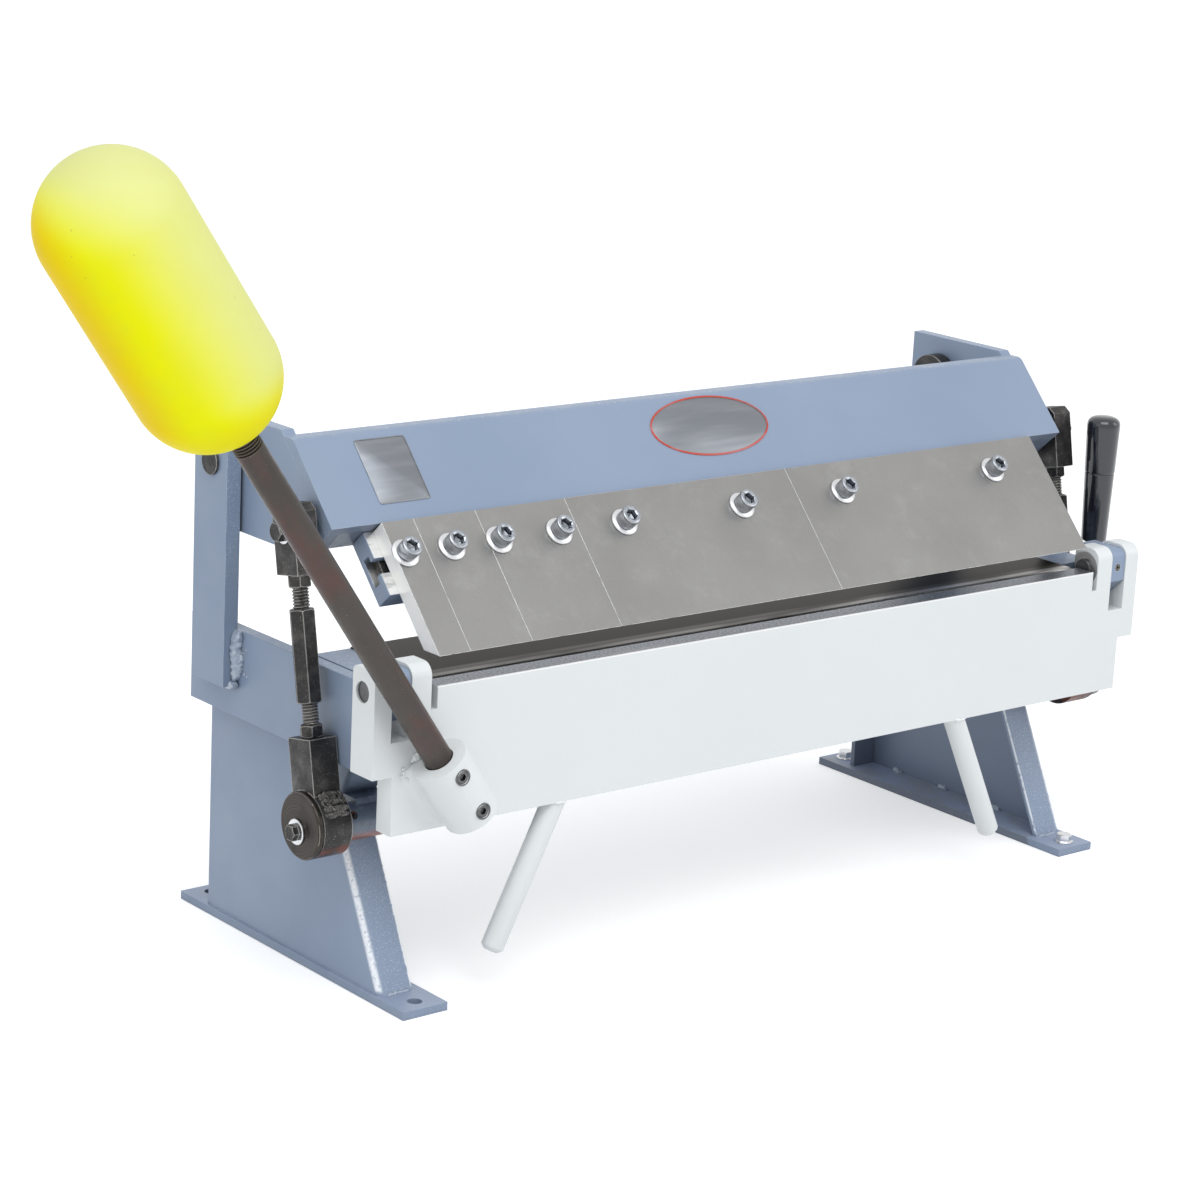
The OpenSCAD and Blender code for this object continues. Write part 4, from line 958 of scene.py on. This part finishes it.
def socket_fillet(bm, way, fill, seed):
    """Concave weld between the socket and the apron along one side of the socket."""
    rng = random.Random(seed)
    depth = SOCKET_R - SOCKET_FLAT
    steps, rows = 36, []
    for i in range(steps + 1):
        t = i / steps
        end = min(1.0, 0.45 + 3 * min(t, 1 - t))
        rho = fill * end * (1 + 0.015 * math.sin(i * 0.7) + rng.uniform(-0.006, 0.006))
        far = math.sqrt((SOCKET_R - FILLET_BITE + rho) ** 2 - (depth - rho) ** 2)
        low = math.atan2(depth - rho, far)
        ring = [(FILLET_FOOT, depth + FILLET_SUNK), (far, depth + TOE_SUNK)]
        start, stop = math.pi / 2, math.pi + low
        for k in range(9):
            a = start + (stop - start) * k / 8
            ring.append((far + rho * math.cos(a), depth - rho + rho * math.sin(a)))
        ring.append(tuple(Vector((far, depth - rho)).normalized() * (SOCKET_R - HEEL_SUNK)))
        z = -SOCKET_L * (FILLET_FROM + FILLET_SHARE * t)
        rows.append([(way * u, v, z) for u, v in ring])
    tube(bm, rows, ON_BAR)


bm = bmesh.new()
socket_fillet(bm, -1, LEFT_FILL, 3)
socket_fillet(bm, 1, RIGHT_FILL, 4)
piece("socket_fillets", bm, "apron", apron_paint, SOFT)

# Apron: the bead over the socket with its spatter, and a ring round the foot of each pull handle
HANDLES_X, HANDLE_FOOT = (-202.3, 176.8), Vector((0, -124.95, 128.2)) * MM
OVER_R, DROP_R, HANDLE_BEAD_R = 2.6 * MM, 0.95 * MM, 1.3 * MM
bm = bmesh.new()
top_weld = [ON_BAR @ (Vector((x, 16.4, 1.2)) * MM) for x in (-10, -4, 4, 10)]
bead(bm, top_weld, OVER_R, 5)
spatter(bm, ON_BAR @ (Vector((-17, 15.4, -4)) * MM), (6 * MM, 0.5 * MM, 7 * MM), 8, DROP_R, 6)
for x in HANDLES_X:
    turns = [math.tau * k / 16 for k in range(17)]
    ring = [HANDLE_FOOT + Vector((x + 8.6 * math.cos(a), 7.9 * math.sin(a), 0)) * MM for a in turns]
    bead(bm, ring, HANDLE_BEAD_R, int(x), 0.15)
piece("apron_welds", bm, "apron", apron_weld, SOFT)

# Blank plates on the beam

PLATE_T, PLATE_RIM_T, PLATE_SUNK, PLATE_SOFT = 0.45 * MM, 0.6 * MM, 3 * MM, 0.15 * MM


def face_plate(name, centre, outline, rim, finish, rim_finish):
    """Thin blank plate on the beam's sloping face, with a raised rim; outline gives points by angle."""
    place = ON_FACE @ Matrix.Translation((*centre, -PLATE_SUNK))
    turns = [math.tau * i / 96 for i in range(96)]

    def ring(grow, height):
        return [(*outline(a, grow), height) for a in turns]

    for part, high, grow, look in (("", PLATE_T, 0.0, finish), ("_rim", PLATE_RIM_T, rim, rim_finish)):
        bm = bmesh.new()
        rings = [ring(grow, 0.0), ring(grow, high - PLATE_SOFT), ring(grow - 0.25 * MM, high)]
        if part:
            rings += [ring(0.0, high), ring(0.0, high - 2 * PLATE_SOFT)]
        tube(bm, rings, place)
        piece(name + part, bm, "clamp_beam", look, SMALL)


def oval(half_w, half_h):
    """Outline of an ellipse, for face_plate."""
    return lambda a, grow: ((half_w + grow) * math.cos(a), (half_h + grow) * math.sin(a))


def rounded_box(half_w, half_h, power):
    """Outline of a rectangle, for face_plate; a higher power makes sharper corners."""

    def outline(a, grow):
        c, s = math.cos(a), math.sin(a)
        k = (abs(c) ** power + abs(s) ** power) ** (-1 / power)
        return (half_w + grow) * c * k, (half_h + grow) * s * k

    return outline


NAME_AT, NAME_HALF, NAME_RIM = (-276.7 * MM, 140.2 * MM), (20 * MM, 24.2 * MM), 0.6 * MM
BADGE_AT, BADGE_HALF, BADGE_RIM = (4.8 * MM, 144.5 * MM), (53 * MM, 23.2 * MM), 1.5 * MM
face_plate("name_plate", NAME_AT, rounded_box(*NAME_HALF, 40), NAME_RIM, plate_silver, plate_silver)
face_plate("badge", BADGE_AT, oval(*BADGE_HALF), BADGE_RIM, plate_silver, plate_red)

for node_name, node_object in frame["nodes"].items():
    node_object.data.materials.clear()
    node_object.data.materials.append(FINISH_OF[SLOT_OF[node_name]].material)

# Stage

FLOOR_GREY, FLOOR_LIFT, FLOOR_HALF, FLOOR_DROP = 0.86, 0.42, 9.0, 0.2 * MM


def seen_rays(tree):
    """1 for the rays that show a background: straight from the camera, mirrored or through glass."""
    path = tree.nodes.new("ShaderNodeLightPath")
    out = path.outputs["Is Camera Ray"]
    for kind in ("Is Glossy Ray", "Is Transmission Ray"):
        more = tree.nodes.new("ShaderNodeMath")
        more.operation = "MAXIMUM"
        tree.links.new(out, more.inputs[0])
        tree.links.new(path.outputs[kind], more.inputs[1])
        out = more.outputs[0]
    return out


def stage_material():
    """Matt white paper, lifted to white for the camera and for reflections, with the object's shadow kept."""
    f = Finish("floor_paper", (FLOOR_GREY, FLOOR_GREY, FLOOR_GREY), 0.9, specular=0.1)
    lift = f.calc("MULTIPLY", seen_rays(f.tree), FLOOR_LIFT, False)
    f.set(Emission_Color=(1, 1, 1, 1), Emission_Strength=lift)
    return f.material


floor_mesh = bpy.data.meshes.new("floor")
corners = [(x, y, 0) for x, y in ((-1, -1), (1, -1), (1, 1), (-1, 1))]
floor_mesh.from_pydata([Vector(c) * FLOOR_HALF for c in corners], [], [(0, 1, 2, 3)])
floor_mesh.materials.append(stage_material())
floor = bpy.data.objects.new("floor", floor_mesh)
floor.location.z = -FLOOR_DROP
bpy.context.collection.objects.link(floor)

SKY_COLOUR, SKY_LEVEL, PAPER_COLOUR, PAPER_LEVEL = (0.95, 0.975, 1.0, 1), 0.70, (1, 1, 1, 1), 1.0
world = bpy.data.worlds.new("studio")
world.use_nodes = True
bpy.context.scene.world = world
nodes, links = world.node_tree.nodes, world.node_tree.links
sky, white = nodes["Background"], nodes.new("ShaderNodeBackground")
for background, colour, level in ((sky, SKY_COLOUR, SKY_LEVEL), (white, PAPER_COLOUR, PAPER_LEVEL)):
    background.inputs["Color"].default_value = colour
    background.inputs["Strength"].default_value = level
switch = nodes.new("ShaderNodeMixShader")
links.new(seen_rays(world.node_tree), switch.inputs["Fac"])
links.new(sky.outputs[0], switch.inputs[1])
links.new(white.outputs[0], switch.inputs[2])
links.new(switch.outputs[0], nodes["World Output"].inputs["Surface"])

LIGHT_AIM = Vector((0, -0.05, 0.25))


def softbox(name, place, size, power, colour=(1, 1, 1)):
    """Soft rectangular light that shines at the middle of the object."""
    light = bpy.data.lights.new(name, "AREA")
    light.shape = "RECTANGLE"
    light.size, light.size_y = size
    light.energy = power
    light.color = colour
    ob = bpy.data.objects.new(name, light)
    ob.location = place
    ob.rotation_mode = "QUATERNION"
    ob.rotation_quaternion = (LIGHT_AIM - Vector(place)).to_track_quat("-Z", "Y")
    bpy.context.collection.objects.link(ob)


softbox("key", (-0.95, -1.55, 2.9), (2.6, 2.1), 51, (0.97, 0.985, 1.0))
softbox("side", (2.2, -1.9, 1.5), (1.2, 1.6), 9)
softbox("left", (-3.0, -0.6, 1.2), (1.4, 1.4), 2.5)

# Camera

SENSOR, LENS = 36, 98.17
CAMERA_AT = Vector((-1.5242, -1.7496, 0.8191))
RIGHT = Vector((0.775515, -0.629451, 0.048656))
UP = Vector((0.123972, 0.227401, 0.965878))
BACK = Vector((-0.619037, -0.743021, 0.254388))
camera_data = bpy.data.cameras.new("camera")
camera_data.sensor_width, camera_data.lens = SENSOR, LENS
camera = bpy.data.objects.new("camera", camera_data)
camera.matrix_world = axes(CAMERA_AT, RIGHT, UP, BACK)
bpy.context.collection.objects.link(camera)
bpy.context.scene.camera = camera

bpy.context.scene.view_settings.view_transform = "Standard"
